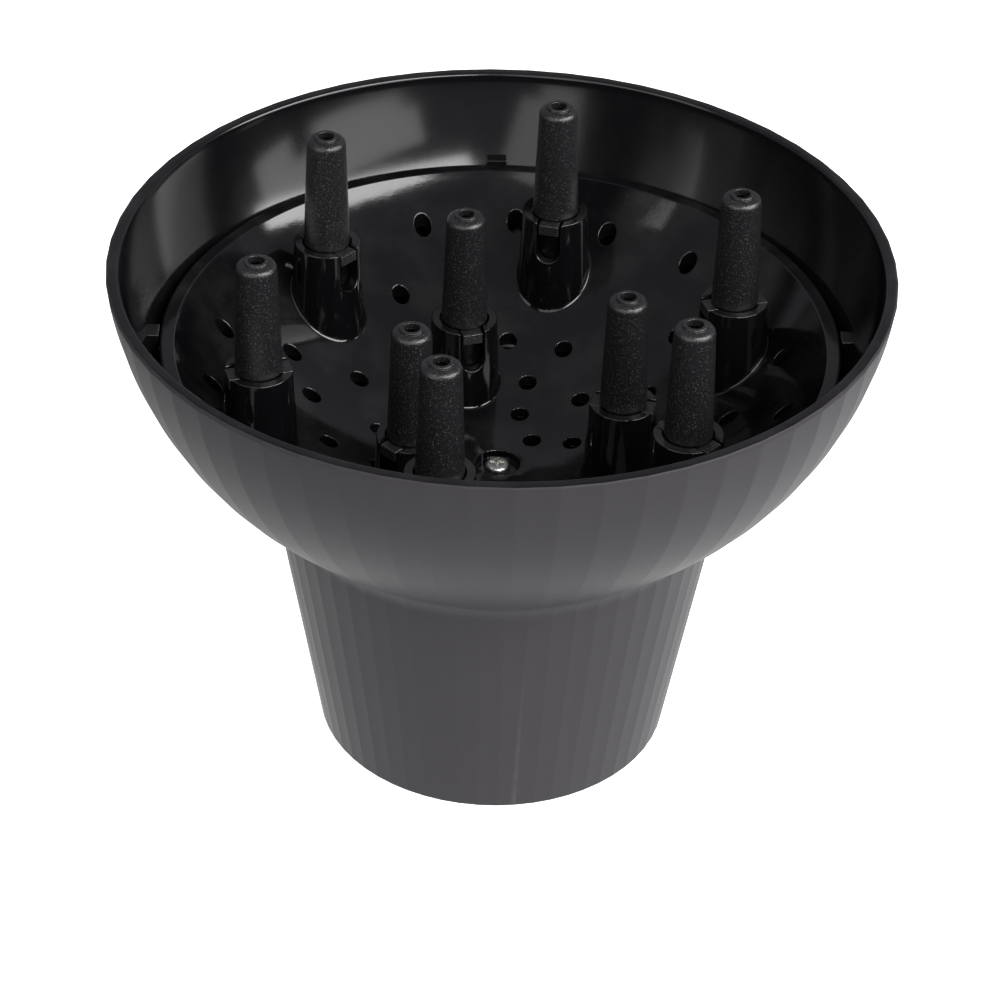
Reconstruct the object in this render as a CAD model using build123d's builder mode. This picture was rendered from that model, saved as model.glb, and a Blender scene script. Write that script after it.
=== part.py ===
"""Clip-on hair dryer diffuser: a faceted bell with a dished plate of sprung, hollow fingers.

The part stands on the bottom of its neck, as it is put down on a bench. Millimetres, +Z up.
The origin is the centre of the neck's bottom face, where the dryer's nozzle goes in.
"""

from build123d import *
import math
import os

os.makedirs("parts", exist_ok=True)

# ---------------------------------------------------------------- bell shell
shell_height = 113.1  # neck bottom to rim top
rim_radius = 80.05  # across the flats of the rim, from the axis
neck_base_radius = 37.6  # outside of the neck at its bottom
neck_draft = 9.5  # degrees that the neck's side leans out
bowl_curve_radius = 73.4  # outside curve of the bowl, in section
bowl_centre_rise = 8.8  # centre of that curve above the rim
shoulder_radius = 10.0  # hollow curve between neck and bowl
shell_wall = 2.6
shell_edge_round = 0.9
facet_count = 60
facet_start = 5.5  # azimuth of the middle of the first facet, degrees

# ---------------------------------------------------------------- finger plate
plate_edge_gap = 2.6  # air gap between the plate and the bowl
plate_drop = 18.6  # top of the plate's flange below the rim
plate_flange_width = 2.9
plate_thickness = 2.4
plate_edge_round = 0.6
dish_depth = 31.9  # flange top to the middle of the dish
air_hole_radius = 1.85
plate_boss_radius = 7.0
plate_boss_depth = 6.4  # below the middle of the dish
screw_well_radius = 4.6
screw_well_depth = 1.65

# ---------------------------------------------------------------- fingers and sockets
outer_ring_radius = 51.0
outer_ring_count = 6
outer_ring_start = 17.4
inner_ring_radius = 26.2
inner_ring_count = 3
inner_ring_start = -12.6
outer_socket_rise = 15.9  # socket top above the dish, on the ring
inner_socket_rise = 16.22
socket_wall = 1.9  # at the socket's top
socket_draft = 2.2
finger_length = 25.6  # tip above the socket's top face
finger_foot_radius = 4.9
finger_neck_radius = 4.1
finger_lip_radius = 2.5
finger_lip_height = 0.55
finger_dome_height = 1.7
finger_tip_hole_radius = 1.65
finger_wall = 1.4
finger_skirt = 10.0  # length of the finger inside the socket at rest
finger_skirt_step = 0.05  # skirt smaller than the foot
finger_step_height = 0.1
finger_round_relief = 0.1  # flat that the dome's round leaves beside the lip
finger_travel = 4.0
guide_radius = 2.6
guide_bore_radius = 1.7
sliding_gap = 0.3
seat_gap = 0.15
spring_space = 7.0  # skirt to socket floor at rest
socket_floor = 2.0
socket_floor_skirt = 1.5
key_width = 4.4
key_height = 2.5
key_drop = 0.4
slot_side_gap = 0.4
slot_depth = 9.3
clip_thickness = 0.8
clip_radius = 4.2
clip_groove = 0.3
clip_mouth = 3.2
guide_end = 0.6  # guide tube beyond its clip
spring_wire = 0.5
spring_turns = 3.5

# ---------------------------------------------------------------- inside the bell
rib_count = 4
rib_start = 1.5
rib_width = 4.4
rib_seat_gap = 0.2  # rib's inner face outside the start of the plate's flange underside
rib_length = 16.0
rib_lip = 0.7  # rib top above the plate's flange
hub_radius = 6.0
hub_length = 17.0
web_count = 4
web_start = 45.0
web_thickness = 2.4
web_height = 13.0
spreader_radius = 17.0
spreader_thickness = 2.0
spreader_rise = 2.2

# ---------------------------------------------------------------- screws
plate_screw_head_radius = 2.75
plate_screw_head_height = 2.0
plate_screw_radius = 1.5
plate_screw_length = 14.0
plate_screw_bite = 0.2
screw_clearance = 0.2
cross_slot_width = 0.7
cross_slot_length = 3.2
cross_slot_depth = 1.1
cross_slot_taper = 12.0
head_round = 0.6  # share of a screw head's height that its round takes
point_chamfer = 0.5  # share of a shank's radius
collar_screw_head_radius = 2.1
collar_screw_head_height = 1.4
collar_screw_radius = 1.1
collar_screw_length = 9.0
collar_screw_bite = 0.15
collar_slot_length = 2.4
collar_slot_depth = 0.8
collar_screw_count = 3
collar_screw_inset = 1.8  # screw axis inside the edge of the ledge
collar_screw_start = 90.0

# ---------------------------------------------------------------- nozzle collar
nozzle_bore_radius = 23.5
nozzle_bore_length = 29.0
collar_wall = 2.2
collar_recess = 4.0  # flange face above the neck's bottom
collar_flange_thickness = 2.5
collar_edge_gap = 0.3
collar_stop_reach = 1.7
collar_stop_thickness = 1.2
collar_gusset_count = 6
collar_gusset_start = 0.0
collar_gusset_thickness = 1.6
collar_gusset_height = 14.0
collar_gusset_toe_gap = 0.8  # gusset toe to the ledge's edge
collar_gusset_toe_height = 1.0
collar_gusset_root = 0.5  # depth that the gussets are sunk in the flange
seal_width = 3.2
seal_thickness = 1.8
seal_rebate = 1.0
seal_bore_gap = 0.3
seal_edge_round = 0.4
ledge_width = 3.6
ledge_thickness = 2.0
ledge_gap = 0.2
collar_boss_radius = 3.1
collar_boss_height = 9.5
collar_boss_cap = 1.0  # solid above the screw's pilot hole
cut_past = 0.1  # how far a cutter goes past the face that it opens

# ---------------------------------------------------------------- worked-out places
neck_slope = math.tan(math.radians(neck_draft))
bowl_centre_z = shell_height + bowl_centre_rise
bowl_centre_r = rim_radius - math.sqrt(bowl_curve_radius**2 - bowl_centre_rise**2)
facet_half_angle = 180.0 / facet_count


def shoulder_centre(wall):
    """Radius and height of the centre of the shoulder curve of the bell's skin, wall deep inside it."""
    curve = shoulder_radius + wall
    lean = math.hypot(1.0, neck_slope)
    across = neck_base_radius + (curve - wall) * lean - bowl_centre_r
    reach = bowl_curve_radius - wall + curve
    a = 1.0 + neck_slope**2
    b = 2.0 * (neck_slope * across - bowl_centre_z)
    c = across**2 + bowl_centre_z**2 - reach**2
    z = (-b - math.sqrt(b * b - 4.0 * a * c)) / (2.0 * a)
    return bowl_centre_r + across + neck_slope * z, z


def bell_outline(wall):
    """Points of the bell's section, wall deep inside its skin: neck foot, neck end, shoulder
    middle, bowl start, bowl middle and rim."""
    curve = shoulder_radius + wall
    centre_r, centre_z = shoulder_centre(wall)
    lean = math.hypot(1.0, neck_slope)
    foot = (neck_base_radius - wall * lean, 0.0)
    neck_end = (centre_r - curve / lean, centre_z + curve * neck_slope / lean)
    to_bowl = math.atan2(bowl_centre_z - centre_z, bowl_centre_r - centre_r)
    bowl_start = (centre_r + curve * math.cos(to_bowl), centre_z + curve * math.sin(to_bowl))
    from_neck = math.atan2(neck_end[1] - centre_z, neck_end[0] - centre_r) % (2.0 * math.pi)
    half_way = (from_neck + to_bowl) / 2.0
    shoulder_middle = (centre_r + curve * math.cos(half_way), centre_z + curve * math.sin(half_way))
    reach = bowl_curve_radius - wall
    low_angle = math.atan2(bowl_start[1] - bowl_centre_z, bowl_start[0] - bowl_centre_r)
    rim_angle = -math.asin(bowl_centre_rise / reach)
    middle_angle = (low_angle + rim_angle) / 2.0
    bowl_middle = (
        bowl_centre_r + reach * math.cos(middle_angle),
        bowl_centre_z + reach * math.sin(middle_angle),
    )
    rim = (bowl_centre_r + reach * math.cos(rim_angle), shell_height)
    return foot, neck_end, shoulder_middle, bowl_start, bowl_middle, rim


def bowl_inside_radius(z):
    """Inside radius of the bowl at height z."""
    reach = bowl_curve_radius - shell_wall
    return bowl_centre_r + math.sqrt(reach**2 - (bowl_centre_z - z) ** 2)


flange_top = shell_height - plate_drop
plate_radius = bowl_inside_radius(flange_top) - plate_edge_gap
dish_radius = plate_radius - plate_flange_width
dish_curve_radius = (dish_radius**2 + dish_depth**2) / (2.0 * dish_depth)
dish_middle = flange_top - dish_depth
dish_centre_z = dish_middle + dish_curve_radius
flange_low = flange_top - plate_thickness
under_radius = math.sqrt(
    (dish_curve_radius + plate_thickness) ** 2 - (dish_centre_z - flange_low) ** 2
)
screw_seat = dish_middle - screw_well_depth
plate_boss_bottom = dish_middle - plate_boss_depth
hub_top = plate_boss_bottom - spreader_thickness
collar_flange_top = collar_recess + collar_flange_thickness
ledge_bottom = collar_flange_top + ledge_gap
ledge_inner_radius = neck_base_radius - shell_wall - ledge_width
collar_screw_circle = ledge_inner_radius - collar_screw_inset
collar_flange_radius = neck_base_radius - shell_wall * math.hypot(1.0, neck_slope) - collar_edge_gap
bore_bottom = collar_recess + seal_rebate
bore_top = bore_bottom + nozzle_bore_length
collar_top = bore_top + collar_stop_thickness
collar_outer_radius = nozzle_bore_radius + collar_wall
finger_skirt_radius = finger_foot_radius - finger_skirt_step
socket_bore_radius = finger_skirt_radius + sliding_gap
socket_radius = socket_bore_radius + socket_wall
floor_top = -(finger_skirt + spring_space)  # below a socket's top face
floor_bottom = floor_top - socket_floor
clip_top = floor_bottom - seat_gap
clip_bottom = clip_top - clip_thickness
slot_width = key_width + 2.0 * slot_side_gap


def dish_height(radius, drop=0.0):
    """Height of the dish's upper surface at a radius, or of a surface drop below it."""
    return dish_centre_z - math.sqrt((dish_curve_radius + drop) ** 2 - radius**2)


outer_socket_top = dish_height(outer_ring_radius) + outer_socket_rise
inner_socket_top = dish_height(inner_ring_radius) + inner_socket_rise


def save(piece, name):
    """Label a finished piece and write its STEP file."""
    piece.part.label = name
    export_step(piece.part, f"parts/{name}.step")


def save_copy(master, name, spot):
    """Write a copy of a piece at one of its places."""
    with BuildPart() as piece:
        add(master.part.moved(spot))
    save(piece, name)


def ring_spots(count, radius, start, height):
    """Places around the axis, each turned so that its own X points outwards."""
    spots = []
    for k in range(count):
        turn = start + k * 360.0 / count
        x = radius * math.cos(math.radians(turn))
        y = radius * math.sin(math.radians(turn))
        spots.append(Location((x, y, height), (0, 0, turn)))
    return spots


outer_spots = ring_spots(outer_ring_count, outer_ring_radius, outer_ring_start, outer_socket_top)
inner_spots = ring_spots(inner_ring_count, inner_ring_radius, inner_ring_start, inner_socket_top)
collar_screw_spots = ring_spots(
    collar_screw_count, collar_screw_circle, collar_screw_start, collar_recess
)


# ================================================================ outer shell
def bell_section(wall):
    """Half section of the bell, filled from the axis to a skin that lies wall deep inside it."""
    foot, neck_end, shoulder_middle, bowl_start, bowl_middle, rim = bell_outline(wall)
    with BuildSketch() as section:
        with BuildLine():
            Polyline((0, rim[1]), (0, 0), foot, neck_end)
            ThreePointArc(neck_end, shoulder_middle, bowl_start)
            ThreePointArc(bowl_start, bowl_middle, rim)
            Line(rim, (0, rim[1]))
        make_face()
    return section.sketch


facet_half_width = rim_radius * math.tan(math.radians(facet_half_angle))

with BuildPart() as facet_wedge:
    with BuildSketch(Plane.XZ) as facet_section:
        add(bell_section(0.0))
        fillet(facet_section.vertices().group_by(Axis.X)[-1], shell_edge_round)
    extrude(amount=2.0 * facet_half_width, both=True)
    with BuildSketch(Plane.XY) as wedge_plan:
        with BuildLine():
            far = 2.0 * rim_radius
            spread = far * math.tan(math.radians(facet_half_angle))
            Polyline((0, 0), (far, -spread), (far, spread), (0, 0))
        make_face()
    extrude(amount=shell_height, mode=Mode.INTERSECT)

with BuildPart() as shell_hollow:
    with BuildSketch(Plane.XZ):
        add(bell_section(shell_wall))
    revolve(axis=Axis.Z)
    # ribs that carry the plate's flange: a seat under it and a stop beside it
    with PolarLocations(0, rib_count, rib_start):
        with Locations((under_radius + rib_seat_gap, 0, flange_low - rib_length)):
            Box(
                rim_radius, rib_width, rib_length,
                align=(Align.MIN, Align.CENTER, Align.MIN), mode=Mode.SUBTRACT,
            )
        with Locations((plate_radius + seat_gap, 0, flange_top - rib_length)):
            Box(
                rim_radius, rib_width, rib_length + rib_lip,
                align=(Align.MIN, Align.CENTER, Align.MIN), mode=Mode.SUBTRACT,
            )
    # web and hub that the plate's screw bites into
    with PolarLocations(0, web_count, web_start):
        with Locations((0, 0, hub_top - hub_length)):
            Box(
                rim_radius, web_thickness, web_height,
                align=(Align.MIN, Align.CENTER, Align.MIN), mode=Mode.SUBTRACT,
            )
    with Locations((0, 0, hub_top - hub_length)):
        Cylinder(
            hub_radius, hub_length,
            align=(Align.CENTER, Align.CENTER, Align.MIN), mode=Mode.SUBTRACT,
        )
    # ledge and bosses that the nozzle collar is screwed to
    with BuildSketch(Plane.XY.offset(ledge_bottom)):
        Circle(rim_radius)
        Circle(ledge_inner_radius, mode=Mode.SUBTRACT)
    extrude(amount=ledge_thickness, mode=Mode.SUBTRACT)
    with BuildSketch(Plane.XY.offset(ledge_bottom)):
        with PolarLocations(collar_screw_circle, collar_screw_count, collar_screw_start):
            Circle(collar_boss_radius)
    extrude(amount=collar_boss_height, mode=Mode.SUBTRACT)

with BuildPart() as outer_shell:
    with PolarLocations(0, facet_count, facet_start):
        add(facet_wedge.part)
    add(shell_hollow.part, mode=Mode.SUBTRACT)
    rim_top = outer_shell.faces().filter_by(Plane.XY).sort_by(Axis.Z)[-1]
    fillet(rim_top.edges().filter_by(GeomType.CIRCLE), shell_edge_round)
    with BuildSketch(Plane.XY.offset(hub_top)):
        Circle(plate_screw_radius - plate_screw_bite)
    extrude(amount=-hub_length, mode=Mode.SUBTRACT)
    with BuildSketch(Plane.XY.offset(ledge_bottom)):
        with PolarLocations(collar_screw_circle, collar_screw_count, collar_screw_start):
            Circle(collar_screw_radius - collar_screw_bite)
    extrude(amount=collar_boss_height - collar_boss_cap, mode=Mode.SUBTRACT)
save(outer_shell, "outer_shell")


# ================================================================ finger plate
def above_dish(drop):
    """Section of the space above the dish's upper surface, or above a surface drop below it."""
    ceiling = shell_height
    with BuildSketch() as section:
        with BuildLine():
            low = (0, dish_height(0, drop))
            middle = (dish_radius / 2.0, dish_height(dish_radius / 2.0, drop))
            edge = (dish_radius, dish_height(dish_radius, drop))
            ThreePointArc(low, middle, edge)
            Polyline(edge, (dish_radius, ceiling), (0, ceiling), low)
        make_face()
    return section.sketch


def socket_blank(spots, ring_radius, socket_top):
    """Solid towers: the whole width down to the socket's floor, and on down into the dish."""
    floor = socket_top + floor_bottom - socket_floor_skirt
    deep = dish_height(ring_radius, plate_thickness) - plate_radius
    with BuildPart() as deep_towers:
        with Locations(*spots):
            Cone(
                socket_radius + (socket_top - floor) * math.tan(math.radians(socket_draft)),
                socket_radius, socket_top - floor,
                align=(Align.CENTER, Align.CENTER, Align.MAX),
            )
            with Locations((0, 0, floor - socket_top)):
                Cylinder(
                    socket_radius + (socket_top - floor) * math.tan(math.radians(socket_draft)),
                    floor - deep, align=(Align.CENTER, Align.CENTER, Align.MAX),
                )
        with BuildSketch(Plane.XZ):
            add(above_dish(plate_thickness / 2.0))
        revolve(axis=Axis.Z, mode=Mode.INTERSECT)
    with BuildPart() as towers:
        add(deep_towers.part)
        with Locations(*spots):
            Cone(
                socket_radius + (socket_top - floor) * math.tan(math.radians(socket_draft)),
                socket_radius, socket_top - floor,
                align=(Align.CENTER, Align.CENTER, Align.MAX),
            )
    return towers.part


def socket_cutter():
    """What is cut out of a socket, with its top face at the origin: the finger's bore, the slots
    for its keys, the guide hole in the floor and the well under the floor."""
    slot_bottom = -slot_depth
    slot_reach = socket_radius + slot_depth * math.tan(math.radians(socket_draft)) + cut_past
    with BuildPart() as cutter:
        Cylinder(
            socket_bore_radius, -floor_top, align=(Align.CENTER, Align.CENTER, Align.MAX)
        )
        with BuildSketch(Plane.YZ):
            with Locations((0, slot_bottom + slot_width / 2.0)):
                Circle(slot_width / 2.0)
                Rectangle(slot_width, slot_depth, align=(Align.CENTER, Align.MIN))
        extrude(amount=slot_reach, both=True)
        with Locations((0, 0, floor_top)):
            Cylinder(
                guide_radius + sliding_gap, socket_floor + cut_past,
                align=(Align.CENTER, Align.CENTER, Align.MAX),
            )
        with Locations((0, 0, floor_bottom)):
            Cylinder(
                socket_bore_radius, dish_depth, align=(Align.CENTER, Align.CENTER, Align.MAX)
            )
    return cutter.part


outer_blank = socket_blank(outer_spots, outer_ring_radius, outer_socket_top)
inner_blank = socket_blank(inner_spots, inner_ring_radius, inner_socket_top)
cutter = socket_cutter()

# rings of air holes: radius and azimuths, between and around the sockets
outer_pitch = 360.0 / outer_ring_count
inner_pitch = 360.0 / inner_ring_count
outer_gap = outer_ring_start + outer_pitch / 2.0
inner_gap = inner_ring_start + inner_pitch / 2.0
outer_gaps = [outer_gap + k * outer_pitch for k in range(outer_ring_count)]
inner_gaps = [inner_gap + k * inner_pitch for k in range(inner_ring_count)]
air_holes = [
    (59.3, [gap + side for gap in outer_gaps for side in (-20.0, 0.0, 20.0)]),
    (47.8, [gap + side for gap in outer_gaps for side in (-10.0, 10.0)]),
    (40.5, outer_gaps),
    (35.5, [gap + side for gap in outer_gaps for side in (-20.0, 20.0)]),
    (25.7, [gap + side for gap in inner_gaps for side in (-29.0, 0.0, 29.0)]),
    (16.7, [gap + side for gap in inner_gaps for side in (-27.0, 27.0)]),
    (10.6, inner_gaps),
]

with BuildPart() as finger_plate:
    with BuildSketch(Plane.XZ) as plate_section:
        with BuildLine():
            ThreePointArc(
                (0, dish_middle),
                (dish_radius / 2.0, dish_height(dish_radius / 2.0)),
                (dish_radius, flange_top),
            )
            Polyline(
                (dish_radius, flange_top), (plate_radius, flange_top),
                (plate_radius, flange_low), (under_radius, flange_low),
            )
            ThreePointArc(
                (under_radius, flange_low),
                (dish_radius / 2.0, dish_height(dish_radius / 2.0, plate_thickness)),
                (0, dish_height(0, plate_thickness)),
            )
            Line((0, dish_height(0, plate_thickness)), (0, dish_middle))
        make_face()
        outer_corner = plate_section.vertices().group_by(Axis.X)[-1].sort_by(Axis.Z)[-1]
        fillet(outer_corner, plate_edge_round)
    revolve(axis=Axis.Z)
    with BuildSketch(Plane.XY.offset(plate_boss_bottom)):
        Circle(plate_boss_radius)
    extrude(amount=plate_boss_depth - plate_thickness / 2.0)
    add(outer_blank)
    add(inner_blank)
    with Locations(*outer_spots, *inner_spots):
        add(cutter, mode=Mode.SUBTRACT)
    with BuildSketch(Plane.XY.offset(shell_height)):
        for ring_radius, turns in air_holes:
            for turn in turns:
                with Locations(Vector(ring_radius, 0).rotate(Axis.Z, turn)):
                    Circle(air_hole_radius)
    extrude(amount=-shell_height, mode=Mode.SUBTRACT)
    with BuildSketch(Plane.XY.offset(screw_seat)):
        Circle(screw_well_radius)
    extrude(amount=dish_depth, mode=Mode.SUBTRACT)
    with BuildSketch(Plane.XY.offset(screw_seat)):
        Circle(plate_screw_radius + screw_clearance)
    extrude(amount=-plate_boss_depth, mode=Mode.SUBTRACT)
save(finger_plate, "finger_plate")


# ================================================================ fingers
def finger_outline():
    """Half section of a finger whose socket's top face is at height 0."""
    tip = finger_length
    lip_low = tip - finger_lip_height
    shoulder = lip_low - finger_dome_height
    skirt_low = -finger_skirt
    bore_radius = finger_foot_radius - finger_wall
    tube_low = clip_bottom - guide_end
    dome_corner = (finger_neck_radius, lip_low)
    with BuildSketch() as section:
        with BuildLine():
            Polyline(
                (finger_tip_hole_radius, tip), (finger_lip_radius, tip),
                (finger_lip_radius, lip_low), dome_corner,
                (finger_foot_radius, finger_step_height), (finger_skirt_radius, 0),
                (finger_skirt_radius, skirt_low), (guide_radius, skirt_low),
                (guide_radius, tube_low), (guide_bore_radius, tube_low),
                (guide_bore_radius, skirt_low + finger_wall),
                (bore_radius, skirt_low + 2.0 * finger_wall), (bore_radius, 0),
                (finger_neck_radius - finger_wall, shoulder),
                (finger_tip_hole_radius, shoulder + finger_wall / 2.0),
                (finger_tip_hole_radius, tip),
            )
        make_face()
        dome_space = min(finger_dome_height, finger_neck_radius - finger_lip_radius)
        corner = section.vertices().sort_by_distance((*dome_corner, 0))[0]
        fillet(corner, dome_space - finger_round_relief)
        lip_corner = section.vertices().sort_by_distance((finger_lip_radius, tip, 0))[0]
        fillet(lip_corner, finger_lip_height / 2.0)
    return section.sketch


with BuildPart() as finger:
    with BuildSketch(Plane.XZ):
        add(finger_outline())
    revolve(axis=Axis.Z)
    # two keys that run in the socket's slots
    for side in (-1, 1):
        with Locations((side * (finger_foot_radius - finger_wall / 2.0), 0, -key_drop)):
            Box(
                socket_radius - finger_foot_radius + finger_wall / 2.0 - sliding_gap,
                key_width, key_height,
                align=(Align.MIN if side > 0 else Align.MAX, Align.CENTER, Align.MAX),
            )
    # groove that the clip snaps into
    with BuildSketch(Plane.XY.offset(clip_bottom)):
        Circle(guide_radius + cut_past)
        Circle(guide_radius - clip_groove, mode=Mode.SUBTRACT)
    extrude(amount=clip_thickness, mode=Mode.SUBTRACT)

with BuildPart() as finger_clip:
    with BuildSketch(Plane.XY.offset(clip_bottom)):
        Circle(clip_radius)
        Circle(guide_radius - clip_groove, mode=Mode.SUBTRACT)
        Rectangle(2.0 * clip_radius, clip_mouth, align=(Align.MIN, Align.CENTER), mode=Mode.SUBTRACT)
    extrude(amount=clip_thickness)

spring_radius = (guide_radius + socket_bore_radius) / 2.0
spring_rise = spring_space - spring_wire - 2.0 * seat_gap

with BuildPart() as finger_spring:
    with BuildLine(Plane.XY.offset(floor_top + seat_gap + spring_wire / 2.0)) as coil:
        Helix(pitch=spring_rise / spring_turns, height=spring_rise, radius=spring_radius)
    with BuildSketch(coil.line ^ 0):
        Circle(spring_wire / 2.0)
    sweep(path=coil.line, is_frenet=True)

for ring_name, spots in (("outer", outer_spots), ("inner", inner_spots)):
    for number, spot in enumerate(spots, start=1):
        save_copy(finger, f"{ring_name}_finger_{number}", spot)
        save_copy(finger_clip, f"{ring_name}_finger_clip_{number}", spot)
        save_copy(finger_spring, f"{ring_name}_finger_spring_{number}", spot)


# ================================================================ air spreader
with BuildPart() as air_spreader:
    with BuildSketch(Plane.XZ):
        with BuildLine():
            Polyline(
                (0, hub_top), (hub_radius, hub_top),
                (spreader_radius, hub_top + spreader_rise),
                (spreader_radius, hub_top + spreader_rise + spreader_thickness / 2.0),
                (plate_boss_radius, plate_boss_bottom), (0, plate_boss_bottom), (0, hub_top),
            )
        make_face()
    revolve(axis=Axis.Z)
    Cylinder(plate_screw_radius + screw_clearance, 2.0 * shell_height, mode=Mode.SUBTRACT)
save(air_spreader, "air_spreader")


# ================================================================ screws
def pan_screw(head_radius, head_height, shank_radius, length, slot_length, slot_depth_in_head):
    """Pan-head screw with a cross recess; its seat is at height 0 and its shank points down."""
    with BuildPart() as screw:
        with BuildSketch(Plane.XY):
            Circle(head_radius)
        extrude(amount=head_height)
        head_top = screw.faces().sort_by(Axis.Z)[-1]
        fillet(head_top.edges(), head_height * head_round)
        with BuildSketch(Plane.XY.offset(head_height)):
            Rectangle(slot_length, cross_slot_width)
            Rectangle(cross_slot_width, slot_length)
        extrude(amount=-slot_depth_in_head, taper=cross_slot_taper, mode=Mode.SUBTRACT)
        with BuildSketch(Plane.XY):
            Circle(shank_radius)
        extrude(amount=-length)
        chamfer(screw.faces().sort_by(Axis.Z)[0].edges(), shank_radius * point_chamfer)
    return screw.part


with BuildPart() as plate_screw:
    with Locations((0, 0, screw_seat)):
        add(
            pan_screw(
                plate_screw_head_radius, plate_screw_head_height, plate_screw_radius,
                plate_screw_length, cross_slot_length, cross_slot_depth,
            )
        )
save(plate_screw, "plate_screw")

small_screw = pan_screw(
    collar_screw_head_radius, collar_screw_head_height, collar_screw_radius,
    collar_screw_length, collar_slot_length, collar_slot_depth,
)
with BuildPart() as collar_screws:
    for spot in collar_screw_spots:
        add(small_screw.moved(spot * Location((0, 0, 0), (180, 0, 0))))
save(collar_screws, "collar_screws")


# ================================================================ nozzle collar
with BuildPart() as nozzle_collar:
    with BuildSketch(Plane.XZ):
        with BuildLine():
            Polyline(
                (nozzle_bore_radius, collar_recess), (collar_flange_radius, collar_recess),
                (collar_flange_radius, collar_flange_top), (collar_outer_radius, collar_flange_top),
                (collar_outer_radius, collar_top), (nozzle_bore_radius - collar_stop_reach, collar_top),
                (nozzle_bore_radius - collar_stop_reach, bore_top), (nozzle_bore_radius, bore_top),
                (nozzle_bore_radius, collar_recess),
            )
        make_face()
    revolve(axis=Axis.Z)
    # gussets between the flange and the tube
    for k in range(collar_gusset_count):
        turn = collar_gusset_start + k * 360.0 / collar_gusset_count
        with BuildSketch(Plane.XZ.rotated((0, 0, turn))):
            with BuildLine():
                foot = collar_outer_radius - collar_wall / 2.0
                toe = ledge_inner_radius - collar_gusset_toe_gap
                root = collar_flange_top - collar_gusset_root
                Polyline(
                    (foot, root), (toe, root), (toe, collar_flange_top + collar_gusset_toe_height),
                    (foot, collar_flange_top + collar_gusset_height), (foot, root),
                )
            make_face()
        extrude(amount=collar_gusset_thickness / 2.0, both=True)
    # rebate for the sealing ring
    with BuildSketch(Plane.XY.offset(collar_recess)):
        Circle(nozzle_bore_radius + seal_bore_gap + seal_width)
    extrude(amount=seal_rebate, mode=Mode.SUBTRACT)
    with BuildSketch(Plane.XY.offset(collar_recess)):
        with PolarLocations(collar_screw_circle, collar_screw_count, collar_screw_start):
            Circle(collar_screw_radius + screw_clearance)
    extrude(amount=collar_flange_thickness, mode=Mode.SUBTRACT)
save(nozzle_collar, "nozzle_collar")

with BuildPart() as sealing_ring:
    with BuildSketch(Plane.XY.offset(bore_bottom)):
        Circle(nozzle_bore_radius + seal_bore_gap + seal_width)
        Circle(nozzle_bore_radius + seal_bore_gap, mode=Mode.SUBTRACT)
    extrude(amount=-seal_thickness)
    fillet(sealing_ring.faces().sort_by(Axis.Z)[0].edges(), seal_edge_round)
save(sealing_ring, "sealing_ring")
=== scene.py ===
# %% [markdown]
# # A dryer diffuser with sprung fingers
# This lesson dresses a salon diffuser: a faceted bell of grained plastic, and in its mouth a
# gloss black dish with nine hollow fingers that can be pressed down against springs. The sizes
# come from a measured frame that other tools have already checked, so nothing here is moved or
# fitted: each visible piece is built where the frame says, and takes over from its plain solid.

# %% Load the frame and note its size
import math
import bpy
from mathutils import Matrix, Vector
from mathutils.geometry import delaunay_2d_cdt


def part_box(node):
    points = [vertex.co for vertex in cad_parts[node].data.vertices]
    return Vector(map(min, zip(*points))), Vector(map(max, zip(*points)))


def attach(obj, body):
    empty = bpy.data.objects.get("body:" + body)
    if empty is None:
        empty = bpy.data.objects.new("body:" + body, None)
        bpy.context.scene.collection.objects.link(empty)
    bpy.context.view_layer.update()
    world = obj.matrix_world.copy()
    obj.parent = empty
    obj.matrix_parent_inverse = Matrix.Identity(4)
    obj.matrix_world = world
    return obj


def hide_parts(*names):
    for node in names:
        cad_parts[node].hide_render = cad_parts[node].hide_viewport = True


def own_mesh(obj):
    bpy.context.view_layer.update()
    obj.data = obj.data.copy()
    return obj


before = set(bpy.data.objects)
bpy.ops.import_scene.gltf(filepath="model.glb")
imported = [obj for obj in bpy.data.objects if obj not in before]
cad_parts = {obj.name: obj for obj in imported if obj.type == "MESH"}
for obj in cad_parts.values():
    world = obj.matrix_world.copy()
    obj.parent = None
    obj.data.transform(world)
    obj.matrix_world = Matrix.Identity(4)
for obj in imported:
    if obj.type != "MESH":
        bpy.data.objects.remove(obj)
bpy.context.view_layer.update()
mm = 0.001

# %% [markdown]
# The camera comes first, because every later choice is judged through it. It looks down into the
# bowl from in front, from more than half a metre away with a long lens, so that the bell keeps
# its proportions. The small roll leans the whole view by a degree and a half.

# %% Set the camera
_, shell_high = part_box("outer_shell")
shell_height = shell_high.z
camera_place = Vector((0.0, -608.6 * mm, shell_height + 376.25 * mm))
look_down = 0.6220
look_aside = 0.0012
lean = 0.0259

forward = Vector((
    math.sin(look_aside) * math.cos(look_down),
    math.cos(look_aside) * math.cos(look_down),
    -math.sin(look_down),
))
level = Vector((math.cos(look_aside), -math.sin(look_aside), 0.0))
upright = level.cross(forward)
right = math.cos(lean) * level + math.sin(lean) * upright
above = -math.sin(lean) * level + math.cos(lean) * upright

camera_data = bpy.data.cameras.new("camera")
camera_data.sensor_width = 36.0
camera_data.lens = 127.0
camera = bpy.data.objects.new("camera", camera_data)
camera.matrix_world = Matrix.Translation(camera_place) @ Matrix(
    (right, above, -forward)
).transposed().to_4x4()
bpy.context.scene.collection.objects.link(camera)
bpy.context.scene.camera = camera
print("camera is", round((camera_place - Vector((0, 0, shell_height))).length, 3), "m from the rim")

# %% [markdown]
# The floor is a plain sheet of white paper, large enough to fill every view, and lit from below
# like a light table. To the eye it is white all over. The light path lets the bell see it
# differently: bright near its foot and dimmer further out, which is what draws the pale shoulder
# and leaves the upright walls darker. One lamp under the floor could do the same, but it would
# have to shine through the paper, and a glow that fades with distance is steadier.

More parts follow.
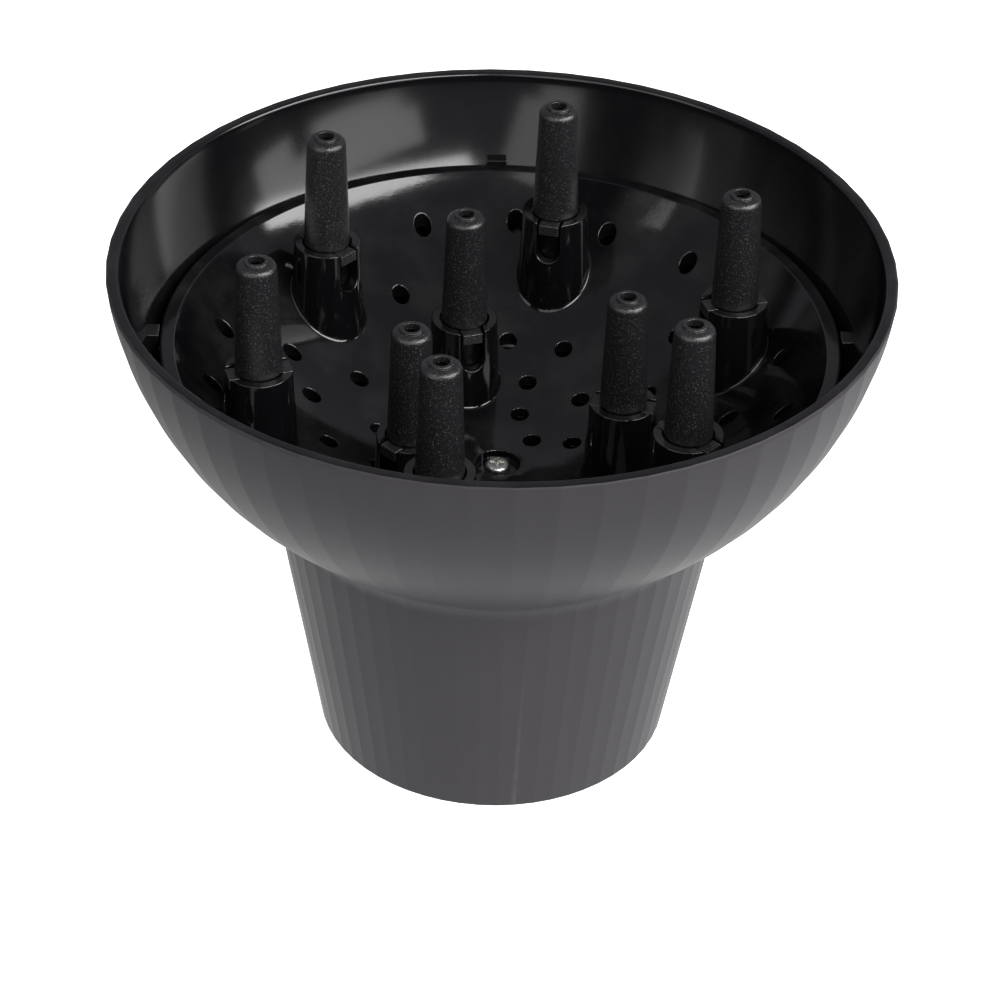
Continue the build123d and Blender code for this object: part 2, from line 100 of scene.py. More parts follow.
# %% Lay the floor
floor_half = 6.0
paper_drop = 0.02 * mm
paper_light, paper_dark = (0.93, 0.93, 0.93, 1.0), (0.9, 0.9, 0.9, 1.0)
paper_mirrored = (0.12, 0.12, 0.12, 1.0)
glow_seen = 1.0
glow_near, glow_far = 1.42, 0.08
glow_middle = (0.05, -0.11, 0.0)
glow_starts, glow_ends = 0.12, 0.42


def paper():
    """White paper that reads as pure white to the eye, and lights the object only a little."""
    material = bpy.data.materials.new("white_paper")
    material.use_nodes = True
    nodes, links = material.node_tree.nodes, material.node_tree.links
    shader = nodes["Principled BSDF"]
    shader.inputs["Roughness"].default_value = 0.9
    shader.inputs["Specular IOR Level"].default_value = 0.1
    shader.inputs["Emission Color"].default_value = (1.0, 1.0, 1.0, 1.0)
    fibre = nodes.new("ShaderNodeTexNoise")
    fibre.inputs["Scale"].default_value = 900.0
    shade = nodes.new("ShaderNodeMix")
    shade.data_type = "RGBA"
    shade.inputs["A"].default_value = paper_light
    shade.inputs["B"].default_value = paper_dark
    links.new(fibre.outputs["Fac"], shade.inputs["Factor"])
    path = nodes.new("ShaderNodeLightPath")
    spot = nodes.new("ShaderNodeNewGeometry")
    far = nodes.new("ShaderNodeVectorMath")
    far.operation = "DISTANCE"
    far.inputs[1].default_value = glow_middle
    links.new(spot.outputs["Position"], far.inputs[0])
    fade = nodes.new("ShaderNodeMapRange")
    fade.inputs["From Min"].default_value = glow_starts
    fade.inputs["From Max"].default_value = glow_ends
    fade.inputs["To Min"].default_value = glow_near
    fade.inputs["To Max"].default_value = glow_far
    links.new(far.outputs["Value"], fade.inputs["Value"])
    glow = nodes.new("ShaderNodeMapRange")
    glow.inputs["To Max"].default_value = glow_seen
    links.new(fade.outputs["Result"], glow.inputs["To Min"])
    links.new(path.outputs["Is Camera Ray"], glow.inputs["Value"])
    links.new(glow.outputs["Result"], shader.inputs["Emission Strength"])
    sheet = nodes.new("ShaderNodeMix")
    sheet.data_type = "RGBA"
    sheet.inputs["A"].default_value = paper_mirrored
    links.new(path.outputs["Is Camera Ray"], sheet.inputs["Factor"])
    links.new(shade.outputs["Result"], sheet.inputs["B"])
    links.new(sheet.outputs["Result"], shader.inputs["Base Color"])
    return material


floor_corners = [(-floor_half, -floor_half), (floor_half, -floor_half)]
floor_corners += [(floor_half, floor_half), (-floor_half, floor_half)]
floor_mesh = bpy.data.meshes.new("floor")
floor_mesh.from_pydata([(x, y, -paper_drop) for x, y in floor_corners], [], [(0, 1, 2, 3)])
floor_mesh.materials.append(paper())
floor = bpy.data.objects.new("floor", floor_mesh)
bpy.context.scene.collection.objects.link(floor)

# %% [markdown]
# Black plastic shows almost nothing but the lamps it mirrors, so the lamps are drawn as shapes:
# wide soft boxes. A bright one hangs at the front right and lays the white patch on the dish. A
# weaker one stands below it, and is what the bowl's wall mirrors. A dim one stands at the front
# left. Each is placed by the direction it shines from and aimed at the bowl. The room itself
# gives a faint, slightly violet light, so that no shadow is quite black.

# %% Hang the lamps
target = Vector((0.0, 0.0, 85.0 * mm))
lamp_distance = 1.2


def soft_box(name, azimuth, elevation, width, height, power, roll=0.0):
    """A rectangular lamp aimed at the bowl. Azimuth is counted on the floor from +X, in degrees."""
    turn, rise = math.radians(azimuth), math.radians(elevation)
    way = Vector((math.cos(turn) * math.cos(rise), math.sin(turn) * math.cos(rise), math.sin(rise)))
    data = bpy.data.lights.new(name, "AREA")
    data.shape = "RECTANGLE"
    data.size = width
    data.size_y = height
    data.energy = power
    lamp = bpy.data.objects.new(name, data)
    aim = way.to_track_quat("Z", "Y").to_matrix() @ Matrix.Rotation(math.radians(roll), 3, "Z")
    lamp.matrix_world = Matrix.Translation(target + lamp_distance * way) @ aim.to_4x4()
    lamp.visible_camera = False
    bpy.context.scene.collection.objects.link(lamp)
    return lamp


soft_box("box_right", azimuth=-36.0, elevation=37.0, width=1.7, height=0.46, power=26.0, roll=-12.0)
soft_box("box_low", azimuth=-35.0, elevation=12.0, width=1.25, height=0.5, power=5.2)
soft_box("box_left", azimuth=-123.0, elevation=26.0, width=1.35, height=1.3, power=8.4)

world = bpy.data.worlds.new("studio")
world.use_nodes = True
room = world.node_tree.nodes["Background"]
room.inputs["Color"].default_value = (1.0, 0.94, 1.03, 1.0)
room.inputs["Strength"].default_value = 0.24
bpy.context.scene.world = world
bpy.context.scene.view_settings.view_transform = "Standard"

# %% [markdown]
# ## Finishes
# Moulded plastic is never one colour: the mould's spark texture leaves a grain, handling polishes
# the edges, and dust settles on what faces up. Some light is painted in as well: the highest grains
# get pale glints, and the edges' lighter line is partly a painted highlight. Each of these effects
# is wanted on several finishes, so each is a node group of its own with named sockets, built once.
# A group hands out only masks and heights, and the shader that uses them stays in its material.

# %% A helper that makes a node group
def node_group(name, inputs, outputs):
    """A shader node group with float sockets: inputs are pairs of a name and a starting value."""
    group = bpy.data.node_groups.new(name, "ShaderNodeTree")
    for label, value in inputs:
        socket = group.interface.new_socket(label, in_out="INPUT", socket_type="NodeSocketFloat")
        socket.default_value = value
    for label in outputs:
        group.interface.new_socket(label, in_out="OUTPUT", socket_type="NodeSocketFloat")
    return group, group.nodes.new("NodeGroupInput"), group.nodes.new("NodeGroupOutput")


def worked_out(nodes, links, operation, first, second):
    """A math node on two values, each a socket or a number."""
    node = nodes.new("ShaderNodeMath")
    node.operation = operation
    for place, value in enumerate((first, second)):
        if isinstance(value, (int, float)):
            node.inputs[place].default_value = value
        else:
            links.new(value, node.inputs[place])
    return node.outputs["Value"]


# %% [markdown]
# Mould grain is fine noise laid through the solid, so it needs no unwrapping and never shows a
# seam. A second, much broader noise gives the cloudy patches that moulded plastic has. The few
# grains that stand highest are marked too, and the pale colour they get is a painted glint: the
# bright dots of light such grains would catch, drawn into the colour.

# %% Group: moulded grain
def build_grain():
    group, given, out = node_group(
        "moulded_grain",
        (("Grains per metre", 3000.0), ("Clouds per metre", 30.0), ("Speck level", 0.7)),
        ("Height", "Clouds", "Painted glints"),
    )
    nodes, links = group.nodes, group.links
    space = nodes.new("ShaderNodeTexCoord")
    fine = nodes.new("ShaderNodeTexNoise")
    fine.inputs["Detail"].default_value = 2.0
    fine.inputs["Roughness"].default_value = 0.55
    broad = nodes.new("ShaderNodeTexNoise")
    broad.inputs["Detail"].default_value = 4.0
    for noise, label in ((fine, "Grains per metre"), (broad, "Clouds per metre")):
        links.new(space.outputs["Object"], noise.inputs["Vector"])
        links.new(given.outputs[label], noise.inputs["Scale"])
    # The highest grains make a mask for painted glints: pale dots laid into the colour where light would
    # catch.
    glint_mask = nodes.new("ShaderNodeMapRange")
    links.new(fine.outputs["Fac"], glint_mask.inputs["Value"])
    links.new(given.outputs["Speck level"], glint_mask.inputs["From Min"])
    full = worked_out(nodes, links, "ADD", given.outputs["Speck level"], 0.1)
    links.new(full, glint_mask.inputs["From Max"])
    links.new(fine.outputs["Fac"], out.inputs["Height"])
    links.new(broad.outputs["Fac"], out.inputs["Clouds"])
    links.new(glint_mask.outputs["Result"], out.inputs["Painted glints"])
    return group


grain_group = build_grain()

# %% [markdown]
# Edges that hands and benches wear go smoother and lighter; part of that lighter line is a painted
# highlight, the light a rounded edge catches drawn into the colour. The pointiness of a surface
# finds them, and a broken noise keeps the line from looking drawn.

# %% Group: edge wear and painted edge highlight
def build_rub_and_highlight():
    group, given, out = node_group(
        "rubbed_and_highlit_edges", (("From", 0.52), ("To", 0.6), ("Breaks per metre", 350.0)), ("Rub and highlight",)
    )
    nodes, links = group.nodes, group.links
    shape = nodes.new("ShaderNodeNewGeometry")
    space = nodes.new("ShaderNodeTexCoord")
    # Pointy edges make one mask: it lightens the colour, partly as wear and partly as a painted highlight.
    edge = nodes.new("ShaderNodeMapRange")
    links.new(shape.outputs["Pointiness"], edge.inputs["Value"])
    links.new(given.outputs["From"], edge.inputs["From Min"])
    links.new(given.outputs["To"], edge.inputs["From Max"])
    broken = nodes.new("ShaderNodeTexNoise")
    links.new(space.outputs["Object"], broken.inputs["Vector"])
    links.new(given.outputs["Breaks per metre"], broken.inputs["Scale"])
    links.new(
        worked_out(nodes, links, "MULTIPLY", edge.outputs["Result"], broken.outputs["Fac"]),
        out.inputs["Rub and highlight"],
    )
    return group


rub_and_highlight_group = build_rub_and_highlight()

# %% [markdown]
# Dust lies on what faces up, in thin uneven drifts. The surface's own normal says how far a spot
# faces up, and two noises of different size break the film up.

# %% Group: settled dust
def build_dust():
    group, given, out = node_group(
        "settled_dust", (("Drifts per metre", 90.0), ("Motes per metre", 2600.0)), ("Dust",)
    )
    nodes, links = group.nodes, group.links
    shape = nodes.new("ShaderNodeNewGeometry")
    space = nodes.new("ShaderNodeTexCoord")
    split = nodes.new("ShaderNodeSeparateXYZ")
    links.new(shape.outputs["Normal"], split.inputs["Vector"])
    facing = nodes.new("ShaderNodeMapRange")
    facing.inputs["From Min"].default_value = 0.2
    links.new(split.outputs["Z"], facing.inputs["Value"])
    drift = nodes.new("ShaderNodeTexNoise")
    drift.inputs["Detail"].default_value = 5.0
    mote = nodes.new("ShaderNodeTexNoise")
    for noise, label in ((drift, "Drifts per metre"), (mote, "Motes per metre")):
        links.new(space.outputs["Object"], noise.inputs["Vector"])
        links.new(given.outputs[label], noise.inputs["Scale"])
    thick = nodes.new("ShaderNodeMapRange")
    thick.inputs["From Min"].default_value = 0.45
    thick.inputs["From Max"].default_value = 0.75
    links.new(drift.outputs["Fac"], thick.inputs["Value"])
    film = worked_out(nodes, links, "MULTIPLY", thick.outputs["Result"], mote.outputs["Fac"])
    links.new(worked_out(nodes, links, "MULTIPLY", film, facing.outputs["Result"]), out.inputs["Dust"])
    return group


dust_group = build_dust()

# %% [markdown]
# A finish then is one shader fed by those groups. The colour goes from the plastic's own to pale
# dots that are painted glints, to edges made lighter partly by wear and partly as a painted
# highlight, and to dust; the roughness moves between a low and a high value with the clouds and
# the grain; the grain's height goes through a bump node into the normal. The values that are the
# same all over, such as the metal's strength, sit on the shader's own sockets.

# %% The recipe for a finish
dust_grey = (0.32, 0.31, 0.3)
cloud_lift, cloud_share = 1.35, 0.6
# The edge lift is partly wear and partly a painted highlight.
rub_and_highlight_lift, rub_and_highlight_grey = 2.2, 0.01
rub_polish = 0.25


def finish(name, colour, glint_colour, rough, grains=3000.0, bump=0.01, glint_level=0.7, painted_glints=0.5,
           clouds=30.0, rub_and_highlight=0.5, dust=0.2, metallic=0.0, specular=0.5, ripple=0.0, ripples=700.0):
    """A plastic, rubber or metal finish. rough is its lowest and highest roughness; bump and
    ripple are heights in millimetres of the grain and of a smooth waviness."""
    material = bpy.data.materials.new(name)
    material.use_nodes = True
    nodes, links = material.node_tree.nodes, material.node_tree.links
    shader = nodes["Principled BSDF"]
    shader.inputs["Metallic"].default_value = metallic
    shader.inputs["Specular IOR Level"].default_value = specular

    def place(group, **values):
        node = nodes.new("ShaderNodeGroup")
        node.node_tree = group
        for label, value in values.items():
            node.inputs[label.replace("_", " ")].default_value = value
        return node

    def tinted(below, colour_above, mask, share):
        mix = nodes.new("ShaderNodeMix")
        mix.data_type = "RGBA"
        links.new(worked_out(nodes, links, "MULTIPLY", mask, share), mix.inputs["Factor"])
        if isinstance(below, tuple):
            mix.inputs["A"].default_value = (*below, 1.0)
        else:
            links.new(below, mix.inputs["A"])
        mix.inputs["B"].default_value = (*colour_above, 1.0)
        return mix.outputs["Result"]

    grain = place(grain_group, Grains_per_metre=grains, Clouds_per_metre=clouds, Speck_level=glint_level)
    rubbed_and_highlit = place(rub_and_highlight_group)
    dusty = place(dust_group)
    cloudy = tuple(cloud_lift * v for v in colour)
    # The lighter edge colour stands for wear and, in part, for a painted highlight on the edges.
    worn_and_highlit = tuple(rub_and_highlight_lift * v + rub_and_highlight_grey for v in colour)
    tone = tinted(colour, cloudy, grain.outputs["Clouds"], cloud_share)
    # Pale dots on the highest grains are painted glints.
    tone = tinted(tone, glint_colour, grain.outputs["Painted glints"], painted_glints)
    tone = tinted(tone, worn_and_highlit, rubbed_and_highlit.outputs["Rub and highlight"], rub_and_highlight)
    tone = tinted(tone, dust_grey, dusty.outputs["Dust"], dust)
    links.new(tone, shader.inputs["Base Color"])

    mixed = worked_out(nodes, links, "ADD", grain.outputs["Height"], grain.outputs["Clouds"])
    spread = nodes.new("ShaderNodeMapRange")
    spread.inputs["From Min"].default_value = 0.6
    spread.inputs["From Max"].default_value = 1.4
    spread.inputs["To Min"].default_value = rough[0]
    spread.inputs["To Max"].default_value = rough[1]
    links.new(mixed, spread.inputs["Value"])
    smoother = worked_out(nodes, links, "MULTIPLY", rubbed_and_highlit.outputs["Rub and highlight"], -rub_polish * rub_and_highlight * rough[0])
    roughness = worked_out(nodes, links, "ADD", spread.outputs["Result"], smoother)
    links.new(roughness, shader.inputs["Roughness"])

    relief = nodes.new("ShaderNodeBump")
    relief.inputs["Strength"].default_value = 1.0
    relief.inputs["Distance"].default_value = bump * mm
    links.new(grain.outputs["Height"], relief.inputs["Height"])
    if ripple:
        wave = place(grain_group, Grains_per_metre=ripples)
        swell = nodes.new("ShaderNodeBump")
        swell.inputs["Distance"].default_value = ripple * mm
        links.new(wave.outputs["Height"], swell.inputs["Height"])
        links.new(swell.outputs["Normal"], relief.inputs["Normal"])
    links.new(relief.outputs["Normal"], shader.inputs["Normal"])
    return material


# %% [markdown]
# The object needs nine finishes. The bell's outside is anthracite with spark grain, nearly without
# gloss; its inside and the dish come from polished moulds, and a polished mould still leaves a
# faint orange peel. The fingers are satin with a coarser grain that sparkles, partly from its bumps
# and partly from pale dots painted in as glints. Their skirts, which only show in the slots, take a
# darker, duller copy of the fingers' finish: painted shade for the shadow down in the slots.
# Nothing black is pure black: even deep black plastic sends back a few thousandths of the light,
# and most of what is seen is gloss.

# %% Mix the finishes
anthracite = (0.0306, 0.0290, 0.0319)
deep_black = (0.0028, 0.0026, 0.0031)
shell_outside = finish("shell_matte", anthracite, (0.08, 0.076, 0.08), (0.33, 0.43), grains=2600.0,
                       bump=0.045, painted_glints=0.45, clouds=22.0, rub_and_highlight=0.7, dust=0.05, specular=0.07)
shell_inside = finish("shell_gloss", deep_black, (0.03, 0.03, 0.03), (0.1, 0.17), grains=1800.0,
                      bump=0.0015, painted_glints=0.2, clouds=45.0, rub_and_highlight=0.9, dust=0.06,
                      ripple=0.004, ripples=160.0)
plate_gloss = finish("plate_gloss", deep_black, (0.04, 0.04, 0.04), (0.05, 0.11), grains=2600.0,
                     bump=0.004, painted_glints=0.3, clouds=60.0, rub_and_highlight=0.8, dust=0.08,
                     ripple=0.008, ripples=420.0)
finger_satin = finish("finger_satin", (0.0085, 0.0083, 0.009), (0.1, 0.1, 0.1), (0.16, 0.27),
                      grains=3200.0, bump=0.1, glint_level=0.6, painted_glints=0.5, rub_and_highlight=0.9, dust=0.02)
# The skirt's finish is the fingers' satin made darker and duller: painted shade for the part that sits
# down in the slots.
skirt_painted_shade = finish("skirt_painted_shade", (0.0015, 0.0015, 0.0016), (0.01, 0.01, 0.01), (0.3, 0.4),
                     grains=2200.0, bump=0.004, painted_glints=0.2, rub_and_highlight=0.2, dust=0.0, specular=0.2)
inner_matte = finish("inner_matte", (0.022, 0.022, 0.023), (0.05, 0.05, 0.05), (0.45, 0.6),
                     grains=2200.0, bump=0.02, rub_and_highlight=0.5, dust=0.15)
silicone = finish("silicone", (0.016, 0.016, 0.016), (0.03, 0.03, 0.03), (0.6, 0.75),
                  grains=1500.0, bump=0.01, rub_and_highlight=0.2, dust=0.5, specular=0.35)
zinc = finish("zinc", (0.6, 0.62, 0.58), (0.75, 0.74, 0.62), (0.2, 0.38), grains=4000.0,
              bump=0.006, painted_glints=0.4, clouds=700.0, rub_and_highlight=0.3, dust=0.05, metallic=1.0)
spring_steel = finish("spring_steel", (0.35, 0.35, 0.36), (0.5, 0.5, 0.5), (0.28, 0.42),
                      grains=5000.0, bump=0.004, painted_glints=0.3, rub_and_highlight=0.4, dust=0.05, metallic=1.0)
print("finishes:", [m.name for m in bpy.data.materials if m.name != "white_paper"])

# %% [markdown]
# ## Shapes with their own normals
# Gloss shows every fault of a mesh, because a reflection follows the normals. A moulded part is
# made of planes, cones, balls and small rounds, and the normal of each is known exactly, so each
# point here is stored with its true normal. The triangles may then run any way they like.

# %% A skin of points, normals and faces
class Skin:
    """Points that carry their own normals, and the faces between them."""

    def __init__(self):
        self.places = []
        self.normals = []
        self.faces = []
        self.finishes = []
        self.known = {}
        self.at = Matrix.Identity(4)

    def point(self, place, normal):
        """Number of the point at a place; a place that is met again keeps its first number."""
        place = self.at @ Vector(place)
        key = tuple(round(v / (0.0001 * mm)) for v in place)
        if key not in self.known:
            self.known[key] = len(self.places)
            self.places.append(place)
            self.normals.append((self.at.to_3x3() @ Vector(normal)).normalized())
        return self.known[key]

    def face(self, corners, finish=0):
        """A face, turned so that its front is on the side its normals point to."""
        ring = [c for k, c in enumerate(corners) if c != corners[k - 1]]
        if len(set(ring)) < 3:
            return
        spots = [self.places[c] for c in ring]
        across = (spots[2] - spots[0]).cross(spots[-1] - spots[1])
        facing = sum((self.normals[c] for c in ring), Vector())
        if across.dot(facing) < 0.0:
            ring.reverse()
        self.faces.append(ring)
        self.finishes.append(finish)

    def grid(self, rows, finish=0, closed=True):
        """Faces between rows of point numbers; closed joins each row's end to its start."""
        for low, high in zip(rows, rows[1:]):
            count = len(low)
            for k in range(count if closed else count - 1):
                m = (k + 1) % count
                self.face((low[k], low[m], high[m], high[k]), finish)

    def fill(self, outer, holes, inner, finish=0):
        """Triangles inside an outer loop and around round holes. Each mark is a pair: a place on
        a flat chart of the surface, and a point number."""
        marks = list(outer)
        owner = [0] * len(outer)
        edges = []
        for number, hole in enumerate(holes, start=1):
            first = len(marks)
            marks += hole
            owner += [number] * len(hole)
            edges += [(first + k, first + (k + 1) % len(hole)) for k in range(len(hole))]
        marks += inner
        owner += [-1] * len(inner)
        flat = [Vector(mark[0]) for mark in marks]
        made = delaunay_2d_cdt(flat, edges, [list(range(len(outer)))], 1, 1e-9)
        for corners in made[2]:
            source = [made[3][c][0] for c in corners]
            owners = {owner[s] for s in source}
            if len(owners) == 1 and owners.pop() > 0:
                continue
            self.face([marks[s][1] for s in source], finish)


# %% Turn a skin into a piece
def make_piece(name, skin, finishes, body, replaces=()):
    """A Blender object from a skin, riding on a body of the frame."""
    mesh = bpy.data.meshes.new(name)
    mesh.from_pydata([tuple(place) for place in skin.places], [], skin.faces)
    for material in finishes:
        mesh.materials.append(material)
    mesh.polygons.foreach_set("material_index", skin.finishes)
    mesh.polygons.foreach_set("use_smooth", [True] * len(skin.faces))
    mesh.normals_split_custom_set_from_vertices([tuple(normal) for normal in skin.normals])
    piece = bpy.data.objects.new(name, mesh)
    bpy.context.scene.collection.objects.link(piece)
    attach(piece, body)
    if replaces:
        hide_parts(*replaces)
    print(f"{name}: {len(mesh.vertices)} points, {len(mesh.polygons)} faces")
    return piece


# %% [markdown]
# Most of the object is turned: a section swept round an axis. Real moulds have no knife edges, so
# a section's corners are rounded as if a small ball rolled along them. An outline is walked with
# the plastic on its left, up the outside and down the inside, and its normals point to the right.

# %% Round a section's corners and sweep it
def ball_arc(corner, first, second, radius, bulges=True, steps=3):
    """Points and normals of the round between two faces that meet at a corner, given their
    normals. A corner that bulges has the ball inside the plastic."""
    side = 1.0 if bulges else -1.0
    first, second = Vector(first), Vector(second)
    centre = Vector(corner) - side * radius * (first + second) / (1.0 + first.dot(second))
    points = []
    between = Vector.slerp if len(first) == 3 else turned_between
    for k in range(steps + 1):
        normal = between(first, second, k / steps)
        points.append((centre + side * radius * normal, normal))
    return points


def turned_between(first, second, share):
    """A flat direction that lies a share of the way from one to another."""
    start = math.atan2(first.y, first.x)
    sweep = (math.atan2(second.y, second.x) - start + math.pi) % (2.0 * math.pi) - math.pi
    return Vector((math.cos(start + share * sweep), math.sin(start + share * sweep)))


def rounded(corners, closed=True, steps=3):
    """Section points with normals from corners of (radius, height, rounding)."""
    count = len(corners)
    section = []
    for k, (r, z, rounding) in enumerate(corners):
        here = Vector((r, z))
        before = Vector(corners[k - 1][:2])
        after = Vector(corners[(k + 1) % count][:2])
        way_in, way_out = (here - before).normalized(), (after - here).normalized()
        first, second = Vector((way_in.y, -way_in.x)), Vector((way_out.y, -way_out.x))
        if not closed and k in (0, count - 1):
            section.append((here, second if k == 0 else first))
            continue
        bulges = way_in.x * way_out.y - way_in.y * way_out.x > 0.0
        section += ball_arc(here, first, second, rounding, bulges, steps)
    return section


def sweep(skin, section, steps, closed=True, start=0.0):
    """Turn a section round the skin's own Z axis. Returns its rows of point numbers."""
    rows = []
    for place, normal in section:
        row = []
        for k in range(steps):
            turn = 2.0 * math.pi * k / steps + start
            c, s = math.cos(turn), math.sin(turn)
            spot = (place.x * c, place.x * s, place.y)
            row.append(skin.point(spot, (normal.x * c, normal.x * s, normal.y)))
        rows.append(row)
    skin.grid(rows + rows[:1] if closed else rows)
    return rows


# %% [markdown]
# ## The bell
# The bell is a funnel: a leaning neck, a hollow shoulder and a bowl, each an arc or a line in
# section. Outside it isn't turned but made of sixty flat facets, so every point of the section is
# pushed out until it meets the plane of its facet. A narrow strip between two facets carries the
# light over the corner, which is what a polished mould edge does. Over the rim the facets fade
# into the round inside.
#
# Two habits of moulded plastic go into the stored normals and leave the shape alone. A flat facet
# sinks a little as it cools and shades as if it were hollow, and the bowl's inside mirrors as if
# it leaned out a few degrees more than its outline does.

# %% Sizes of the bell
rim_radius = 80.05 * mm
neck_base_radius = 37.6 * mm
neck_slope = math.tan(math.radians(9.5))
bowl_curve = 73.4 * mm
bowl_rise = 8.8 * mm
shoulder_curve = 10.0 * mm
shell_wall = 2.6 * mm
rim_round = 0.9 * mm
foot_round = 0.35 * mm
facet_count = 60
facet_start = math.radians(5.5)
facet_half = math.pi / facet_count
corner_share = 0.09
hollow = 0.6
inner_lean = math.radians(6.0)
clear_of_rim = 0.1 * mm
bowl_centre = Vector((rim_radius - math.sqrt(bowl_curve**2 - bowl_rise**2), shell_height + bowl_rise))


def arc(centre, radius, start, stop, steps, inward=False):
    """Section points on an arc; their normals point away from its centre, or to it."""
    side = -1.0 if inward else 1.0
    points = []
    for k in range(steps + 1):
        turn = start + (stop - start) * k / steps
        out = Vector((math.cos(turn), math.sin(turn)))
        points.append((centre + radius * out, side * out))
    return points


# %% [markdown]
# The shoulder is the ball that touches both the neck's line and the bowl's arc, so its centre
# comes from a quadratic: as far from the bowl's centre as the two radii together, and on a line
# beside the neck. The same sum with a depth gives the inside of the wall.

# %% The bell's outline
def skin_outline(depth):
    """Section of the bell's skin, depth deep inside it, from the neck's foot to the rim."""
    curve = shoulder_curve + depth
    slant = math.hypot(1.0, neck_slope)
    across = neck_base_radius + (curve - depth) * slant - bowl_centre.x
    reach = bowl_curve - depth + curve
    a = 1.0 + neck_slope**2
    b = 2.0 * (neck_slope * across - bowl_centre.y)
    c = across**2 + bowl_centre.y**2 - reach**2
    z = (-b - math.sqrt(b * b - 4.0 * a * c)) / (2.0 * a)
    centre = Vector((bowl_centre.x + across + neck_slope * z, z))
    neck_normal = Vector((1.0, -neck_slope)).normalized()
    foot = Vector((neck_base_radius - depth * slant, 0.0))
    to_bowl = math.atan2(bowl_centre.y - centre.y, bowl_centre.x - centre.x)
    from_neck = math.atan2(-neck_normal.y, -neck_normal.x)
    shoulder = arc(centre, curve, from_neck % (2.0 * math.pi), to_bowl % (2.0 * math.pi), 12, inward=True)
    bowl = bowl_curve - depth
    low = to_bowl - math.pi
    top = -math.asin(bowl_rise / bowl)
    return foot, neck_normal, shoulder, arc(bowl_centre, bowl, low, top, 26)


def leaned(normal):
    """A normal of the section, turned by the bowl's lean."""
    turn = math.atan2(normal.y, normal.x) - inner_lean
    return Vector((math.cos(turn), math.sin(turn)))


def bell_section():
    """The whole section, as its outside up to the rim and its inside back to the foot."""
    foot, neck_normal, shoulder, bowl = skin_outline(0.0)
    foot_in, _, shoulder_in, bowl_in = skin_outline(shell_wall)
    up, down = Vector((0.0, 1.0)), Vector((0.0, -1.0))
    rim_out = ball_arc(bowl[-1][0], bowl[-1][1], up, rim_round, steps=5)
    rim_in = ball_arc(bowl_in[-1][0], up, -bowl_in[-1][1], rim_round, steps=5)
    outside = ball_arc(foot, down, neck_normal, foot_round)
    outside += shoulder + [p for p in bowl if p[0].y < rim_out[0][0].y - clear_of_rim] + rim_out
    top_in = rim_in[-1][0].y - clear_of_rim
    inside = rim_in + [(p, leaned(-n)) for p, n in reversed(bowl_in) if p.y < top_in]
    inside += [(p, -n) for p, n in reversed(shoulder_in)]
    inside += ball_arc(foot_in, -neck_normal, down, foot_round)
    return outside, inside


# %% [markdown]
# The section is carried round facet by facet. A turned mesh with sixty steps would have the right
# outline too, but its corners would be knife edges and its inside would show the same flats.

# %% Build the bell
def build_bell():
    """Each facet has four columns of points, and its shading turns a little against its shape."""
    outside, inside = bell_section()
    flat_half = 1.0 - corner_share
    shares = [-flat_half, -flat_half / 3, flat_half / 3, flat_half]
    skin = Skin()
    rows = []
    for number, (place, normal) in enumerate(outside + inside):
        faceted = number < len(outside)
        row = []
        for k in range(facet_count):
            middle = facet_start + 2.0 * facet_half * k
            for share in shares:
                turn = middle + share * facet_half
                reach = place.x / math.cos(share * facet_half) if faceted else place.x
                face_turn = middle - hollow * share * facet_half if faceted else turn
                row.append(skin.point(
                    (reach * math.cos(turn), reach * math.sin(turn), place.y),
                    (normal.x * math.cos(face_turn), normal.x * math.sin(face_turn), normal.y),
                ))
        rows.append(row)
    gloss_begins = len(outside) - 3
    skin.grid(rows[:gloss_begins + 1], 0)
    skin.grid(rows[gloss_begins:] + rows[:1], 1)
    return make_piece("bell", skin, (shell_outside, shell_inside), "body", ("outer_shell",))


bell = build_bell()

# %% [markdown]
# ## Blocks and slabs
# Ribs, webs and gussets are flat slabs cut to an outline and stood on edge. Their rounds come from
# a bevel modifier, which keeps the slab itself down to a few clean faces.

# %% Slabs on edge
def bowl_inside(z):
    """Inside radius of the bowl at a height."""
    return bowl_centre.x + math.sqrt((bowl_curve - shell_wall)**2 - (bowl_centre.y - z)**2)


def wall_inside(z):
    """Inside radius of the whole bell at a height, read off the points of its inner skin."""
    foot, _, shoulder, bowl = skin_outline(shell_wall)
    points = [foot] + [place for place, _ in shoulder + bowl]
    for low, high in zip(points, points[1:]):
        if low.y <= z <= high.y:
            return low.x + (high.x - low.x) * (z - low.y) / (high.y - low.y)
    return points[-1].x


def slabs(name, outline, thickness, turns, material, replaces, soften=0.3 * mm):
    """Copies of a slab whose outline lies in the plane of the axis, one at each azimuth."""
    places, faces = [], []
    for turn in turns:
        c, s = math.cos(math.radians(turn)), math.sin(math.radians(turn))
        first = len(places)
        for aside in (-0.5 * thickness, 0.5 * thickness):
            places += [(r * c - aside * s, r * s + aside * c, z) for r, z in outline]
        count = len(outline)
        faces.append([first + k for k in range(count)])
        faces.append([first + count + k for k in reversed(range(count))])
        for k in range(count):
            m = (k + 1) % count
            faces.append([first + m, first + k, first + count + k, first + count + m])
    mesh = bpy.data.meshes.new(name)
    mesh.from_pydata(places, [], faces)
    mesh.materials.append(material)
    mesh.polygons.foreach_set("use_smooth", [True] * len(faces))
    piece = bpy.data.objects.new(name, mesh)
    bpy.context.scene.collection.objects.link(piece)
    bevel = piece.modifiers.new("softened_edges", "BEVEL")
    bevel.width = soften
    bevel.segments = 3
    bevel.limit_method = "ANGLE"
    bevel.harden_normals = True
    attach(piece, "body")
    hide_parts(*replaces)
    print(f"{name}: {len(turns)} slabs")
    return piece


def around(count, start):
    """Azimuths of a ring of equal things."""
    return [start + k * 360.0 / count for k in range(count)]


